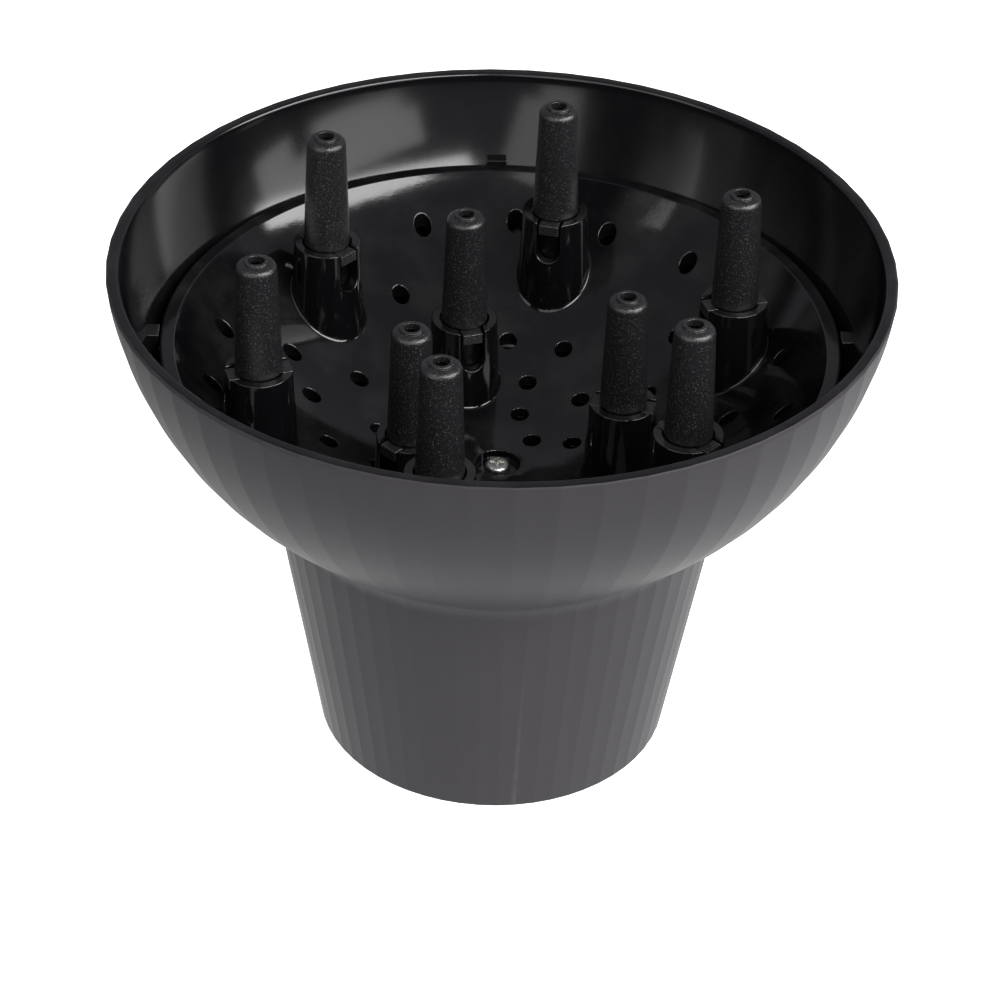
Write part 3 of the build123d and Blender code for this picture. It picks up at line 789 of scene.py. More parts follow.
# %% [markdown]
# Four ribs inside the bowl carry the dish: each has a seat under the dish's flange and a stop
# beside it. Their backs are sunk into the wall, as moulded ribs grow out of it.

# %% The dish's sizes and the ribs that carry it
plate_low, plate_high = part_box("finger_plate")
flange_top = shell_height - 18.6 * mm
plate_thickness = 2.4 * mm
flange_low = flange_top - plate_thickness
plate_radius = bowl_inside(flange_top) - 2.6 * mm
dish_radius = plate_radius - 2.9 * mm
dish_depth = 31.9 * mm
dish_curve = (dish_radius**2 + dish_depth**2) / (2.0 * dish_depth)
dish_middle = flange_top - dish_depth
dish_centre = Vector((0.0, 0.0, dish_middle + dish_curve))
under_radius = math.sqrt((dish_curve + plate_thickness)**2 - (dish_centre.z - flange_low)**2)
print("dish: radius", round(plate_radius / mm, 2), "mm; in the frame it is", round(plate_high.x / mm, 2))
print("dish: middle at", round(dish_middle / mm, 2), "mm, lowest point", round(plate_low.z / mm, 2), "mm")

rib_top = flange_top + 0.7 * mm
rib_seat = under_radius + 0.2 * mm
rib_stop = plate_radius + 0.15 * mm
sunk = 1.2 * mm
rib_width = 4.4 * mm
rib_turns = around(4, 1.5)
rib_low = bowl_centre.y - math.sqrt((bowl_curve - shell_wall)**2 - (rib_seat - sunk - bowl_centre.x)**2)
rib_heights = [rib_low + share * (rib_top - rib_low) for share in (0, 0.3, 0.6, 1)]
rib_outline = [(bowl_inside(z) + sunk, z) for z in rib_heights]
rib_outline += [(rib_stop, rib_top), (rib_stop, flange_low), (rib_seat, flange_low)]
ribs = slabs("bowl_ribs", rib_outline, rib_width, rib_turns, shell_inside, ("outer_shell",))

# %% [markdown]
# Below the dish a hub stands on four webs in the bell's throat. The dish's screw bites into it,
# and the air passes between the webs.

# %% The hub and its webs
plate_boss_low = dish_middle - 6.4 * mm
hub_top = plate_boss_low - 2.0 * mm
hub_low = hub_top - 17.0 * mm
hub_radius = 6.0 * mm
web_top = hub_low + 13.0 * mm
web_width = 2.4 * mm
web_turns = around(4, 45.0)
web_heights = [hub_low + share * (web_top - hub_low) for share in (0, 0.5, 1)]
web_outline = [(hub_radius - sunk, hub_low)] + [(wall_inside(z) + sunk, z) for z in web_heights]
web_outline += [(hub_radius - sunk, web_top)]
webs = slabs("hub_webs", web_outline, web_width, web_turns, shell_inside, ("outer_shell",))

hub_bore = 1.5 * mm
hub_skin = Skin()
sweep(hub_skin, rounded([
    (hub_radius, hub_low, 0.4 * mm), (hub_radius, hub_top, 0.3 * mm),
    (hub_bore, hub_top, 0.2 * mm), (hub_bore, hub_low, 0.2 * mm),
]), 64)
hub = make_piece("screw_hub", hub_skin, (shell_inside,), "body", ("outer_shell",))

# %% [markdown]
# At the neck's foot an inner ledge and three bosses hold the nozzle collar.

# %% The ledge and the collar's bosses
ledge_low = 6.7 * mm
ledge_high = ledge_low + 2.0 * mm
ledge_inner = neck_base_radius - shell_wall - 3.6 * mm
ledge_outer = neck_base_radius - 1.3 * mm
boss_high = ledge_low + 9.5 * mm
boss_outer, boss_inner = 3.1 * mm, 0.2 * mm
collar_screw_circle = ledge_inner - 1.8 * mm


def standing_at(turn, radius, height=0.0):
    """Axes of a thing that stands at an azimuth, a radius and a height, with its X outwards."""
    return Matrix.Rotation(math.radians(turn), 4, "Z") @ Matrix.Translation((radius, 0.0, height))


ledge_skin = Skin()
sweep(ledge_skin, rounded([
    (ledge_outer, ledge_low, 0.2 * mm), (ledge_outer, ledge_high, 0.2 * mm),
    (ledge_inner, ledge_high, 0.4 * mm), (ledge_inner, ledge_low, 0.4 * mm),
]), 128)
for turn in around(3, 90.0):
    ledge_skin.at = standing_at(turn, collar_screw_circle)
    sweep(ledge_skin, rounded([
        (boss_outer, ledge_low, 0.2 * mm), (boss_outer, boss_high, 0.5 * mm),
        (boss_inner, boss_high, 0.05 * mm), (boss_inner, ledge_low, 0.05 * mm),
    ]), 40)
ledge = make_piece("collar_ledge", ledge_skin, (inner_matte,), "body", ("outer_shell",))

# %% [markdown]
# ## The dish
# The dish is one shallow ball of gloss plastic with sixty-six air holes and nine sockets growing
# out of it. Each hole and socket is built first, edge round included, as rings of points that
# end on the ball. What is left of the ball between those rings is then filled with triangles,
# above and below.

# %% The ball that the dish is part of
def ball_height(radius, below=0.0):
    """Height of the dish's upper surface at a radius, or of a surface below it."""
    return dish_centre.z - math.sqrt((dish_curve + below)**2 - radius**2)


def on_ball(x, y, below=0.0):
    """Place and outward normal of the dish's upper surface, or of its underside below it."""
    place = Vector((x, y, ball_height(math.hypot(x, y), below)))
    inward = (dish_centre - place).normalized()
    return place, -inward if below else inward


# %% [markdown]
# An air hole's wall is upright, as its mould pin is, so on the sloping dish its rim is an
# ellipse. A quarter round leads in at the top and a smaller one out at the bottom.

# %% One air hole
hole_radius = 1.85 * mm
hole_lead = 0.25 * mm
hole_lead_under = 0.2 * mm
hole_steps = 28


def ring_marks(ring, skin):
    """A ring of point numbers with their places on the chart, which is the view from above."""
    return [(skin.places[number].xy, number) for number in ring]


def air_hole(skin, x, y):
    """Rings of one hole, from the upper surface to the underside. Returns the first and last."""
    rows = []
    upper = (0.0, hole_lead, (0, 1, 2, 3))
    under = (plate_thickness, hole_lead_under, (3, 1.5, 0))
    for below, lead, thirds in (upper, under):
        for third in thirds:
            bend = math.pi / 2.0 * third / 3.0
            row = []
            for k in range(hole_steps):
                turn = 2.0 * math.pi * k / hole_steps
                out = Vector((math.cos(turn), math.sin(turn), 0.0))
                reach = hole_radius + lead * (1.0 - math.sin(bend))
                spot, normal = on_ball(x + reach * out.x, y + reach * out.y, below)
                drop = lead * (1.0 - math.cos(bend)) * (-1.0 if not below else 1.0)
                spot.z += drop
                row.append(skin.point(spot, math.cos(bend) * normal - math.sin(bend) * out))
            rows.append(row)
    skin.grid(rows)
    return rows[0], rows[-1]


# %% [markdown]
# A socket is a short tower, slightly wider at its foot, with a bore for the finger and a slot on
# two sides for the finger's keys. Its upper edge is one line that runs along the top, dips down a
# slot, turns round its bottom and climbs again. That line is laid out once, and a rounded band
# follows it between the outer wall and the bore.

# %% Sizes of a socket and a finger
foot_radius = 4.9 * mm
neck_radius = 4.1 * mm
skirt_radius = foot_radius - 0.05 * mm
sliding_gap = 0.3 * mm
bore_radius = skirt_radius + sliding_gap
socket_radius = bore_radius + 1.9 * mm
socket_draft = math.tan(math.radians(2.2))
skirt_length = 10.0 * mm
spring_space = 7.0 * mm
floor_top = -(skirt_length + spring_space)
floor_low = floor_top - 2.0 * mm
skirt_end = floor_low - 1.5 * mm
guide_radius = 2.6 * mm
slot_half = 2.6 * mm
slot_depth = 9.3 * mm
edge_round = 0.28 * mm
slot_corner = 0.55 * mm
slot_clear = 0.17 * mm
flare = 0.8 * mm
flare_lost = 0.55 * mm
under_flare = 0.2 * mm
well_round = 0.15 * mm
foot_drop = 0.45 * mm
socket_steps = 60


def lip_line(slot_low):
    """The upper edge over one slot, from one side of the socket to the other. Each entry is
    either ("top", share of the way to the slot, side) or ("cut", y, z, normal y, normal z).
    slot_low is the height of the centre of the slot's round bottom."""
    half = [("top", k / 9.0, 1.0) for k in range(10)]
    for k in range(1, 4):
        turn = math.pi / 2.0 * k / 3.0
        y = slot_half + slot_corner * (1.0 - math.sin(turn))
        half.append(("cut", y, -slot_corner * (1.0 - math.cos(turn)), -math.sin(turn), math.cos(turn)))
    half += [("cut", slot_half, -slot_corner + share * (slot_low + slot_corner), -1.0, 0.0)
             for share in (0.2, 0.4, 0.6, 0.8)]
    half += [("cut", slot_half * math.cos(turn), slot_low - slot_half * math.sin(turn),
              -math.cos(turn), math.sin(turn)) for turn in (math.pi * k / 20.0 for k in range(11))]
    other = []
    for entry in reversed(half[:-1]):
        if entry[0] == "top":
            other.append(("top", entry[1], -1.0))
        else:
            other.append(("cut", -entry[1], entry[2], -entry[3], entry[4]))
    return half + other


def lip_place(entry, radius):
    """Where an entry of the lip line lies on a round wall, with the wall's and the band's normals.
    radius is a function of the height."""
    if entry[0] == "top":
        corner = math.asin((slot_half + slot_corner) / radius(0.0))
        turn = entry[2] * (math.pi / 2.0 - entry[1] * (math.pi / 2.0 - corner))
        out = Vector((math.cos(turn), math.sin(turn), 0.0))
        return radius(0.0) * out, out, Vector((0.0, 0.0, 1.0))
    y, z = entry[1], entry[2]
    x = math.sqrt(radius(z)**2 - y * y)
    return Vector((x, y, z)), Vector((x, y, 0.0)).normalized(), Vector((0.0, entry[3], entry[4]))


# %% [markdown]
# The walls are charted by unrolling them: distance round the wall across, height up. On that
# chart a wall is a plain outline with a notch for the slot, and it is filled like the dish.

# %% One wall of a socket, filled on its chart
wall_step = 7.6
wall_rise, wall_shift = 1.15 * mm, 0.5 * mm


def chart_wall(skin, radius, bottom, lip, slot_low, turned_by, inward):
    """Fill half of a round wall between its bottom ring and its lip. bottom and lip are point
    numbers from one side to the other; radius is a function of the height."""
    mid = radius(-skirt_length)
    home = (skin.at @ turned_by).inverted()

    def mark(number):
        spot = home @ skin.places[number]
        return Vector((mid * math.atan2(spot.y, spot.x), spot.z)), number

    def wall_point(turn, z):
        out = Vector((math.cos(turn), math.sin(turn), 0.0))
        spot = turned_by @ (radius(z) * out + Vector((0.0, 0.0, z)))
        normal = turned_by.to_3x3() @ (-out if inward else out + Vector((0.0, 0.0, socket_draft)))
        return skin.point(spot, normal)

    def side(turn, end_low, end_high):
        """Marks up one straight side of the chart, between its ends."""
        z0, z1 = end_low[0].y, end_high[0].y
        column = [z0 + (z1 - z0) * k / 12.0 for k in range(1, 12)]
        return [(Vector((mid * turn, z)), wall_point(turn, z)) for z in column]

    low = [mark(number) for number in bottom]
    high = [mark(number) for number in lip]
    far_side = side(math.pi / 2.0, low[-1], high[-1])
    near_side = side(-math.pi / 2.0, low[0], high[0])
    inner = []
    for k in range(-11, 12):
        turn = math.radians(wall_step * k)
        floor_z = max(m[0].y for m in low if abs(m[0].x - mid * turn) < 0.6 * mm)
        for step in range(1, 16):
            z = floor_z + wall_rise * step - (wall_shift if k % 2 else 0.0)
            y = radius(z) * math.sin(turn)
            from_slot = abs(y) if z > slot_low else math.hypot(y, z - slot_low)
            if z > floor_z + 0.4 * mm and z < -0.7 * mm and from_slot > slot_half + 0.7 * mm:
                inner.append((Vector((mid * turn, z)), wall_point(turn, z)))
    skin.fill(low + far_side + high[::-1] + near_side[::-1], [], inner)


# %% [markdown]
# A socket is worked out in axes of its own: Z up its middle and X away from the dish's axis. Its
# outer wall leans in a little and its bore doesn't. The dish slopes, so the ball lies at another
# height under each side of the socket, and each ring of points asks for it.

# %% A socket's walls, and the ball in its axes
quarter_back = -math.pi / 2.0


def cone(z):
    """Radius of a socket's outer wall at a height."""
    return socket_radius - z * socket_draft


def bore(_):
    """Radius of its bore, which is the same at every height."""
    return bore_radius


def ball_near(ring_radius, turn, top):
    """The dish's ball for one socket: a function from its x and y to a height and a normal."""
    outward = Matrix.Rotation(math.radians(turn), 3, "Z")

    def ball(x, y, below=0.0):
        spot = outward @ Vector((ring_radius + x, y, 0.0))
        place, normal = on_ball(spot.x, spot.y, below)
        return place.z - top, outward.inverted() @ normal

    return ball


def socket_ways():
    """Directions round a socket. They start at its -Y side, so that each half is one run."""
    turns = [2.0 * math.pi * k / socket_steps + quarter_back for k in range(socket_steps)]
    return [Vector((math.cos(turn), math.sin(turn), 0.0)) for turn in turns]


# %% [markdown]
# The tower grows out of the dish with a small flare, a quarter round laid between the ball and the
# wall. It is tighter on the side that looks out, where the dish climbs to meet it.

# %% The flare from the dish up into the outer wall
def flare_rings(skin, ball):
    """Rings of points from the ball up to the wall."""
    rings = []
    for step in range(6):
        bend = math.pi / 2.0 * step / 5.0
        ring = []
        for out in socket_ways():
            base = cone(ball(cone(floor_top) * out.x, cone(floor_top) * out.y)[0])
            spread = flare - flare_lost * max(0.0, out.x)**4
            reach = base + spread * (1.0 - math.sin(bend))
            z, normal = ball(reach * out.x, reach * out.y)
            spot = reach * out + Vector((0.0, 0.0, z + spread * (1.0 - math.cos(bend))))
            ring.append(skin.point(spot, math.cos(bend) * normal + math.sin(bend) * out))
        rings.append(ring)
    skin.grid(rings)
    return rings


# %% [markdown]
# Inside, the bore ends on a floor with a guide hole, and under the floor a shallow well keeps the
# clip out of the air stream. The well's edge and the tower's foot then run out onto the dish's
# underside.

# %% The floor, the well and the foot under the dish
def floor_section():
    """Section from the bore's foot over the floor and through the guide hole into the well."""
    guide_hole = guide_radius + sliding_gap
    return rounded([
        (bore_radius, floor_top + 3.0 * mm, 0.0), (bore_radius, floor_top, 0.3 * mm),
        (guide_hole, floor_top, 0.25 * mm), (guide_hole, floor_low, 0.25 * mm),
        (bore_radius, floor_low, 0.25 * mm), (bore_radius, floor_low - 1.0 * mm, 0.0),
    ], closed=False)[1:-1]


def foot_column(out, ball):
    """Places and normals down the well's edge, across its foot and out to the underside."""
    foot_reach = cone(skirt_end)
    under, _ = ball(foot_reach * out.x, foot_reach * out.y, plate_thickness)
    low = min(under - foot_drop, skirt_end)
    column = []
    for centre_r, start in ((bore_radius + well_round, math.pi), (foot_reach - well_round, 1.5 * math.pi)):
        centre = centre_r * out + Vector((0.0, 0.0, low + well_round))
        for third in range(4):
            bend = start + math.pi / 2.0 * third / 3.0
            tip = math.cos(bend) * out + Vector((0.0, 0.0, math.sin(bend)))
            column.append((centre + well_round * tip, tip))
    for third in range(4):
        bend = math.pi / 2.0 * (1.0 - third / 3.0)
        reach = foot_reach + under_flare * (1.0 - math.sin(bend))
        z, normal = ball(reach * out.x, reach * out.y, plate_thickness)
        spot = reach * out + Vector((0.0, 0.0, z - under_flare * (1.0 - math.cos(bend))))
        column.append((spot, math.cos(bend) * normal + math.sin(bend) * out))
    return column


def foot_rings(skin, ball):
    """The same columns as rings of points, all the way round."""
    columns = [[skin.point(*entry) for entry in foot_column(out, ball)] for out in socket_ways()]
    return [list(ring) for ring in zip(*columns)]


# %% [markdown]
# The upper edge is a rounded band that runs from the outer wall over to the bore, and it is laid
# for one half of the socket at a time. The slots go as deep as the tower allows: on the side where
# the dish stands high the tower is short, and so is the slot.

# %% The band and the two walls of one half
def half_socket(skin, top, half_turn, flare_ring, bore_ring):
    """The upper edge and both walls, between the flare's last ring and the bore's lowest."""
    swing = Matrix.Rotation(half_turn, 4, "Z")
    half = socket_steps // 2
    first = 0 if half_turn == 0.0 else half
    middle = first + half // 2
    wall_foot = skin.places[flare_ring[middle]].z - top
    slot_low = slot_half - min(slot_depth, -wall_foot - edge_round - slot_clear)
    band = []
    for entry in lip_line(slot_low):
        outer_spot, outer_normal, band_normal = lip_place(entry, cone)
        inner_spot, inner_normal, _ = lip_place(entry, bore)
        column = ball_arc(outer_spot, outer_normal, band_normal, edge_round)
        column += ball_arc(inner_spot, band_normal, -inner_normal, edge_round)
        band.append([
            skin.point(swing @ spot, swing.to_3x3() @ normal) for spot, normal in column
        ])
    skin.grid(list(zip(*band)), closed=False)
    # the line runs from the +Y side to the -Y side, and a chart from -Y to +Y
    lip_outside = [column[0] for column in reversed(band)]
    lip_inside = [column[-1] for column in reversed(band)]
    picked = [(first + k) % socket_steps for k in range(half + 1)]
    flare_half = [flare_ring[k] for k in picked]
    bore_half = [bore_ring[k] for k in picked]
    chart_wall(skin, cone, flare_half, lip_outside, slot_low, swing, False)
    chart_wall(skin, bore, bore_half, lip_inside, slot_low, swing, True)


# %% [markdown]
# With the stages in place, a socket is a short list of them, from the ball up to the edge. What it
# hands back are the two rings that the dish's surfaces will be filled up to.

# %% One socket
def socket(skin, ring_radius, turn, top):
    """A socket on the dish. Returns its ring on the upper surface and its ring on the underside."""
    skin.at = standing_at(turn, ring_radius, top)
    ball = ball_near(ring_radius, turn, top)
    flare_made = flare_rings(skin, ball)
    bore_made = sweep(skin, floor_section(), socket_steps, closed=False, start=quarter_back)
    foot_made = foot_rings(skin, ball)
    skin.grid(bore_made[-1:] + foot_made)
    for half_turn in (0.0, math.pi):
        half_socket(skin, top, half_turn, flare_made[-1], bore_made[0])
    skin.at = Matrix.Identity(4)
    return flare_made[0], foot_made[-1]


# %% [markdown]
# The fingers stand in two rings, six outside and three inside, and the air holes fill the gaps
# between them in a pattern that repeats with each ring.

# %% Where everything stands
outer_ring, inner_ring = 51.0 * mm, 26.2 * mm
outer_turns, inner_turns = around(6, 17.4), around(3, -12.6)
outer_top = ball_height(outer_ring) + 15.9 * mm
inner_top = ball_height(inner_ring) + 16.22 * mm
outer_gaps = [turn + 30.0 for turn in outer_turns]
inner_gaps = [turn + 60.0 for turn in inner_turns]
hole_rings = [
    (59.3 * mm, outer_gaps, (-20.0, 0.0, 20.0)),
    (47.8 * mm, outer_gaps, (-10.0, 10.0)),
    (40.5 * mm, outer_gaps, (0.0,)),
    (35.5 * mm, outer_gaps, (-20.0, 20.0)),
    (25.7 * mm, inner_gaps, (-29.0, 0.0, 29.0)),
    (16.7 * mm, inner_gaps, (-27.0, 27.0)),
    (10.6 * mm, inner_gaps, (0.0,)),
]
hole_places = []
for radius, gaps, offsets in hole_rings:
    for gap in gaps:
        for offset in offsets:
            turn = math.radians(gap + offset)
            hole_places.append((radius * math.cos(turn), radius * math.sin(turn)))
stations = [("outer", k + 1, outer_ring, turn, outer_top) for k, turn in enumerate(outer_turns)]
stations += [("inner", k + 1, inner_ring, turn, inner_top) for k, turn in enumerate(inner_turns)]
print(len(hole_places), "air holes,", len(stations), "sockets")

# %% [markdown]
# Two turned sections close the dish. In its middle a well sinks the screw's head, with the
# screw's hole through it and a boss below that stands on the hub. Round its edge runs the flat
# flange that lies on the ribs.

# %% The well in the middle and the flange round the edge
well_radius, well_lead = 4.6 * mm, 0.4 * mm
well_seat = dish_middle - 1.65 * mm
screw_hole = 1.7 * mm
boss_radius, boss_flare = 7.0 * mm, 0.5 * mm


def well_section():
    """Section from the upper surface down the well and the hole, and out over the boss."""
    well_top = ball_height(well_radius + well_lead)
    boss_under = ball_height(boss_radius + boss_flare, plate_thickness)
    return rounded([
        (well_radius + 2.0 * mm, well_top, 0.0), (well_radius, well_top, well_lead),
        (well_radius, well_seat, 0.25 * mm), (screw_hole, well_seat, 0.1 * mm),
        (screw_hole, plate_boss_low, 0.1 * mm), (boss_radius, plate_boss_low, 0.4 * mm),
        (boss_radius, boss_under, boss_flare), (boss_radius + 2.0 * mm, boss_under, 0.0),
    ], closed=False)[1:-1]


def flange_section():
    """Section from the underside round the flange to the upper surface."""
    upper_near, under_near = dish_radius - 0.8 * mm, under_radius - 0.8 * mm
    return rounded([
        (under_near, ball_height(under_near, plate_thickness), 0.0),
        (under_radius, flange_low, 0.3 * mm), (plate_radius, flange_low, 0.3 * mm),
        (plate_radius, flange_top, 0.6 * mm), (dish_radius, flange_top, 0.45 * mm),
        (upper_near, ball_height(upper_near), 0.0),
    ], closed=False, steps=4)


# %% [markdown]
# The filling wants triangles of even size, because long thin ones would bend the gloss between
# their corners. So points are strewn over the ball in a honeycomb before it is filled.

# %% Build the dish
spread_pitch = 3.0 * mm


def dish_spread(skin, keep_out, radius, below):
    """Points spread evenly over the dish, clear of rings that are in the way."""
    marks = []
    rows = int(radius / spread_pitch) + 1
    for j in range(-rows, rows + 1):
        for i in range(-rows - 1, rows + 1):
            x, y = (i + 0.5 * (j % 2)) * spread_pitch, j * spread_pitch * 0.866
            if math.hypot(x, y) > radius - 1.2 * mm:
                continue
            if all(math.hypot(x - a, y - b) > reach + 0.9 * mm for a, b, reach in keep_out):
                marks.append((Vector((x, y)), skin.point(*on_ball(x, y, below))))
    return marks


def ring_reach(skin, ring):
    """Middle of a ring of points, seen from above, and how far its points are from it."""
    spots = [skin.places[number].xy for number in ring]
    mid = sum(spots, Vector((0.0, 0.0))) / len(spots)
    return mid.x, mid.y, max((spot - mid).length for spot in spots)


def fill_dish(skin, edge, rings, below):
    """Triangles over the ball, inside its edge and outside the rings."""
    keep_out = [ring_reach(skin, ring) for ring in rings]
    edge_radius = skin.places[edge[0]].xy.length
    inner = dish_spread(skin, keep_out, edge_radius, below)
    skin.fill(ring_marks(edge, skin), [ring_marks(ring, skin) for ring in rings], inner)


def build_dish():
    skin = Skin()
    openings = [air_hole(skin, x, y) for x, y in hole_places]
    openings += [socket(skin, ring, turn, top) for _, _, ring, turn, top in stations]
    centre = sweep(skin, well_section(), 64, closed=False)
    flange = sweep(skin, flange_section(), 240, closed=False)
    fill_dish(skin, flange[-1], [upper for upper, _ in openings] + [centre[0]], 0.0)
    fill_dish(skin, flange[0], [under for _, under in openings] + [centre[-1]], plate_thickness)
    return make_piece("finger_dish", skin, (plate_gloss,), "body", ("finger_plate",))


dish = build_dish()

# %% [markdown]
# ## The fingers
# A finger is a hollow, slightly tapering tube with a domed shoulder, and a raised lip round the
# hole that the air comes out of. Inside the socket it goes on as a skirt, and a thin guide tube
# runs through the socket's floor to a clip. Two keys on the skirt run in the slots. The section is
# turned once, and nine copies stand at their stations. From the foot down the faces take the
# skirt's darker, duller finish, which is painted shade for the part down in the slots.

# %% A rounded block for the keys
def rounded_block(skin, low, high, radius):
    """A block whose edges and corners are all rounded, from its two opposite corners."""
    low, high = Vector(low), Vector(high)
    middle, half = (low + high) / 2.0, (high - low) / 2.0 - Vector((radius, radius, radius))
    halfway = 0.414
    bends = [(-1.0, -1), (-halfway, -1), (0.0, -1), (0.0, 1), (halfway, 1), (1.0, 1)]
    for axis in range(3):
        for side in (-1, 1):
            rows = []
            for bend_v, sign_v in bends:
                row = []
                for bend_u, sign_u in bends:
                    way = Vector((0.0, 0.0, 0.0))
                    way[axis], way[(axis + 1) % 3], way[(axis + 2) % 3] = side, bend_u, bend_v
                    inner = Vector((0.0, 0.0, 0.0))
                    inner[axis] = side * half[axis]
                    inner[(axis + 1) % 3] = sign_u * half[(axis + 1) % 3]
                    inner[(axis + 2) % 3] = sign_v * half[(axis + 2) % 3]
                    way.normalize()
                    row.append(skin.point(middle + inner + radius * way, way))
                rows.append(row)
            skin.grid(rows, closed=False)


# %% [markdown]
# The section goes up the outside and comes back down the inside, so the tube has a real bore that
# shows at its tip, and a real groove for the clip.

# %% Build the nine fingers
finger_length = 25.6 * mm
lip_radius, lip_height = 2.5 * mm, 0.55 * mm
tip_bore = 1.65 * mm
finger_wall = 1.4 * mm
guide_bore = 1.7 * mm
clip_top = floor_low - 0.15 * mm
clip_low = clip_top - 0.8 * mm
guide_end = clip_low - 0.6 * mm
key_half, key_round = 2.2 * mm, 0.3 * mm
key_top, key_low = -0.4 * mm, -2.9 * mm


def finger_section():
    """Section of a finger: up its outside from the guide's end, over the lip and down inside."""
    shoulder = finger_length - lip_height
    inner_shoulder = shoulder - 1.7 * mm
    groove = guide_radius - 0.3 * mm
    foot_bore = foot_radius - finger_wall
    return rounded([
        (guide_bore, guide_end, 0.15 * mm), (guide_radius, guide_end, 0.2 * mm),
        (guide_radius, clip_low, 0.05 * mm), (groove, clip_low, 0.05 * mm),
        (groove, clip_top, 0.05 * mm), (guide_radius, clip_top, 0.05 * mm),
        (guide_radius, -skirt_length, 0.3 * mm), (skirt_radius, -skirt_length, 0.3 * mm),
        (skirt_radius, -0.05 * mm, 0.02 * mm), (foot_radius, 0.12 * mm, 0.02 * mm),
        (neck_radius, shoulder, 1.45 * mm), (lip_radius, shoulder, 0.1 * mm),
        (lip_radius, finger_length, 0.28 * mm), (tip_bore, finger_length, 0.2 * mm),
        (tip_bore, inner_shoulder + 0.7 * mm, 0.3 * mm),
        (neck_radius - finger_wall, inner_shoulder, 0.4 * mm),
        (foot_bore, 0.0, 0.5 * mm), (foot_bore, -skirt_length + 2.8 * mm, 0.4 * mm),
        (guide_bore, -skirt_length + finger_wall, 0.4 * mm),
    ], steps=4)


def build_finger(ring_name, number, ring_radius, turn, top):
    """A finger's tube with its two keys, standing in its socket."""
    skin = Skin()
    skin.at = standing_at(turn, ring_radius, top)
    sweep(skin, finger_section(), 64)
    skirt_top = top + 0.03 * mm
    # Faces below the foot take the second finish, a darker copy of the satin that paints in the slots'
    # shade.
    skin.finishes = [int(all(skin.places[c].z < skirt_top for c in face)) for face in skin.faces]
    reach = socket_radius - sliding_gap
    hidden = foot_radius - finger_wall / 2.0
    rounded_block(skin, (hidden, -key_half, key_low), (reach, key_half, key_top), key_round)
    rounded_block(skin, (-reach, -key_half, key_low), (-hidden, key_half, key_top), key_round)
    name = f"{ring_name}_finger_{number}"
    return make_piece(f"{name}_tube", skin, (finger_satin, skirt_painted_shade), name, (name,))


fingers = [build_finger(*station) for station in stations]

# %% [markdown]
# ## The springs
# Under each finger's skirt a coil spring stands on the socket's floor. Its end turns lie flat, as
# wound springs do.

# %% Wind the springs
wire = 0.25 * mm
coil_radius = (guide_radius + bore_radius) / 2.0
coil_turns = 3.5
coil_steps, wire_sides = 140, 10
coil_clear = 0.15 * mm
coil_rise = spring_space - 2.0 * wire - 0.3 * mm


def wind_coil(skin):
    """Rings of points along the wire, and a cap at each end."""
    rows = []
    for k in range(coil_steps + 1):
        share = k / coil_steps
        sweep_turn = 2.0 * math.pi * coil_turns * share
        eased = share - 0.6 * math.sin(2.0 * math.pi * share) / (2.0 * math.pi)
        centre = Vector((
            coil_radius * math.cos(sweep_turn), coil_radius * math.sin(sweep_turn),
            floor_top + coil_clear + wire + coil_rise * eased,
        ))
        out = Vector((math.cos(sweep_turn), math.sin(sweep_turn), 0.0))
        size = wire if 0 < k < coil_steps else 0.5 * wire
        row = []
        for j in range(wire_sides):
            bend = 2.0 * math.pi * j / wire_sides
            tip = math.cos(bend) * out + math.sin(bend) * Vector((0.0, 0.0, 1.0))
            row.append(skin.point(centre + size * tip, tip))
        rows.append(row)
    skin.grid(rows)
    for row in (rows[0], rows[-1]):
        skin.face(row)


def build_spring(ring_name, number, ring_radius, turn, top):
    skin = Skin()
    skin.at = standing_at(turn, ring_radius, top)
    wind_coil(skin)
    name = f"{ring_name}_finger_spring_{number}"
    piece = make_piece(f"{name}_coil", skin, (spring_steel,), "body", (name,))
    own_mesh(piece)
    return piece


springs = [build_spring(*station) for station in stations]

# %% [markdown]
# ## Under the dish
# A shallow cone, clamped between the dish's boss and the hub, turns the hot air outwards to the
# holes. At the neck's foot the collar guides the dryer's nozzle: a flanged tube with a stop lip,
# six gussets and a soft ring that takes up the rattle.

# %% The air spreader
spreader_radius = 17.0 * mm
brim_low, brim_high = hub_top + 2.2 * mm, hub_top + 3.2 * mm
spreader_skin = Skin()
sweep(spreader_skin, rounded([
    (screw_hole, hub_top, 0.15 * mm), (hub_radius, hub_top, 1.0 * mm),
    (spreader_radius, brim_low, 0.3 * mm), (spreader_radius, brim_high, 0.3 * mm),
    (boss_radius, plate_boss_low, 1.0 * mm), (screw_hole, plate_boss_low, 0.15 * mm),
]), 96)
spreader = make_piece("air_cone", spreader_skin, (inner_matte,), "body", ("air_spreader",))

# %% [markdown]
# The collar's flange lies under the ledge. The seal fills a step in the mouth of the bore and
# stands out a little below it, where the dryer's body presses on it.

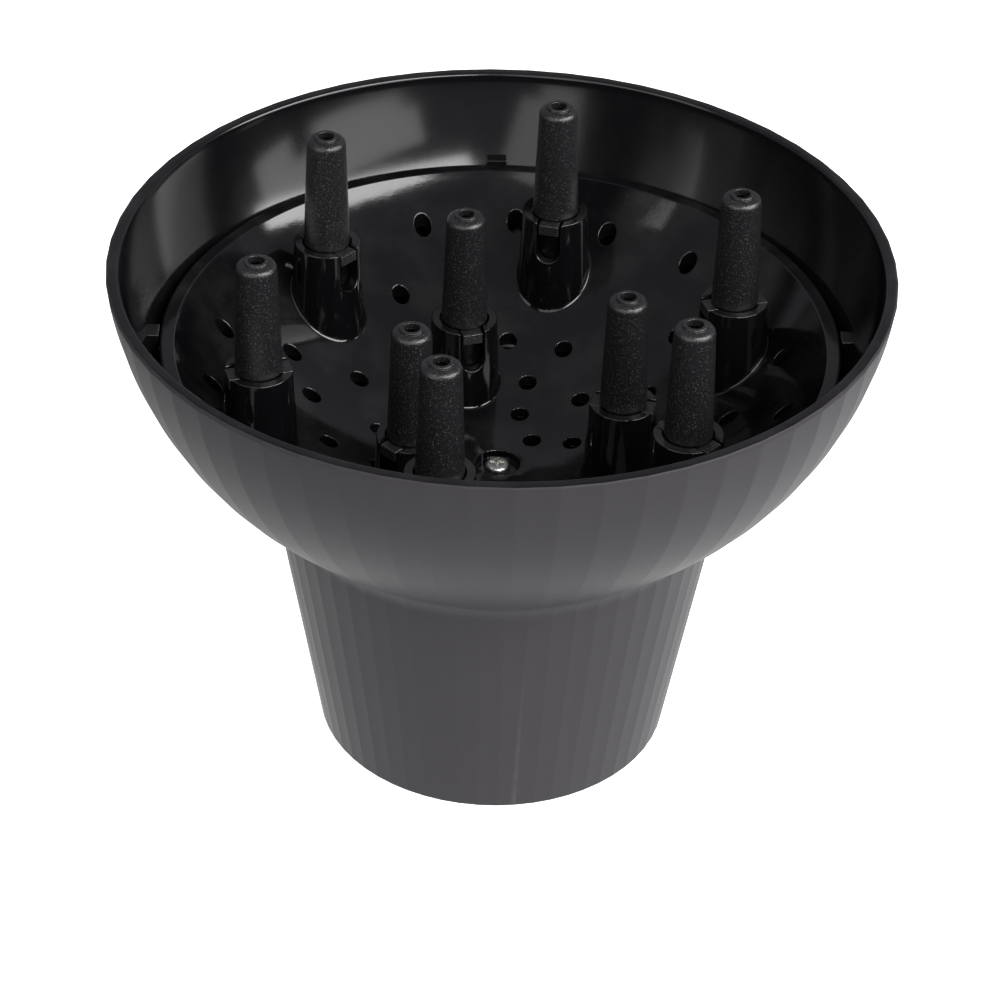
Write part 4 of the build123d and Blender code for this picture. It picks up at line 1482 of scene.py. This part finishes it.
# %% The nozzle collar, its gussets and its seal
collar_low = 4.0 * mm
flange_face = collar_low + 2.5 * mm
nozzle_radius = 23.5 * mm
seal_depth = 1.0 * mm
bore_start = collar_low + seal_depth
bore_end = bore_start + 29.0 * mm
collar_high = bore_end + 1.2 * mm
tube_radius = nozzle_radius + 2.2 * mm
stop_radius = nozzle_radius - 1.7 * mm
flange_radius = neck_base_radius - shell_wall * math.hypot(1.0, neck_slope) - 0.3 * mm
seal_inner, seal_outer = nozzle_radius + 0.3 * mm, nozzle_radius + 3.5 * mm

collar_skin = Skin()
sweep(collar_skin, rounded([
    (flange_radius, collar_low, 0.35 * mm), (flange_radius, flange_face, 0.35 * mm),
    (tube_radius, flange_face, 0.6 * mm), (tube_radius, collar_high, 0.5 * mm),
    (stop_radius, collar_high, 0.35 * mm), (stop_radius, bore_end, 0.35 * mm),
    (nozzle_radius, bore_end, 0.2 * mm), (nozzle_radius, bore_start, 0.3 * mm),
    (seal_outer, bore_start, 0.1 * mm), (seal_outer, collar_low, 0.25 * mm),
]), 128)
collar = make_piece("nozzle_tube", collar_skin, (inner_matte,), "body", ("nozzle_collar",))

gusset_toe = ledge_inner - 0.8 * mm
gusset_root = tube_radius - 1.1 * mm
gusset_low = flange_face - 0.5 * mm
gusset_width = 1.6 * mm
gusset_outline = [
    (gusset_root, gusset_low), (gusset_toe, gusset_low), (gusset_toe, flange_face + 1.0 * mm),
    (tube_radius, flange_face + 13.0 * mm), (gusset_root, flange_face + 14.0 * mm),
]
gussets = slabs("collar_gussets", gusset_outline, gusset_width, around(6, 0.0), inner_matte,
                ("nozzle_collar",))

seal_skin = Skin()
seal_low = bore_start - 1.8 * mm
sweep(seal_skin, rounded([
    (seal_outer, seal_low, 0.4 * mm), (seal_outer, bore_start, 0.1 * mm),
    (seal_inner, bore_start, 0.1 * mm), (seal_inner, seal_low, 0.4 * mm),
]), 128)
seal = make_piece("sealing_band", seal_skin, (silicone,), "body", ("sealing_ring",))

# %% [markdown]
# ## Metal parts
# The screws and the clips are small, and their measured solids already have every face they need,
# the cross recess included. They stay as they are and only take a metal finish.

# %% Dress the frame's own screws and clips
def dress(node, material):
    """Give a solid of the frame a finish."""
    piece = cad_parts[node]
    piece.data.materials.clear()
    piece.data.materials.append(material)


for node in ("plate_screw", "collar_screws"):
    dress(node, zinc)
for ring_name, number, _, _, _ in stations:
    dress(f"{ring_name}_finger_clip_{number}", spring_steel)
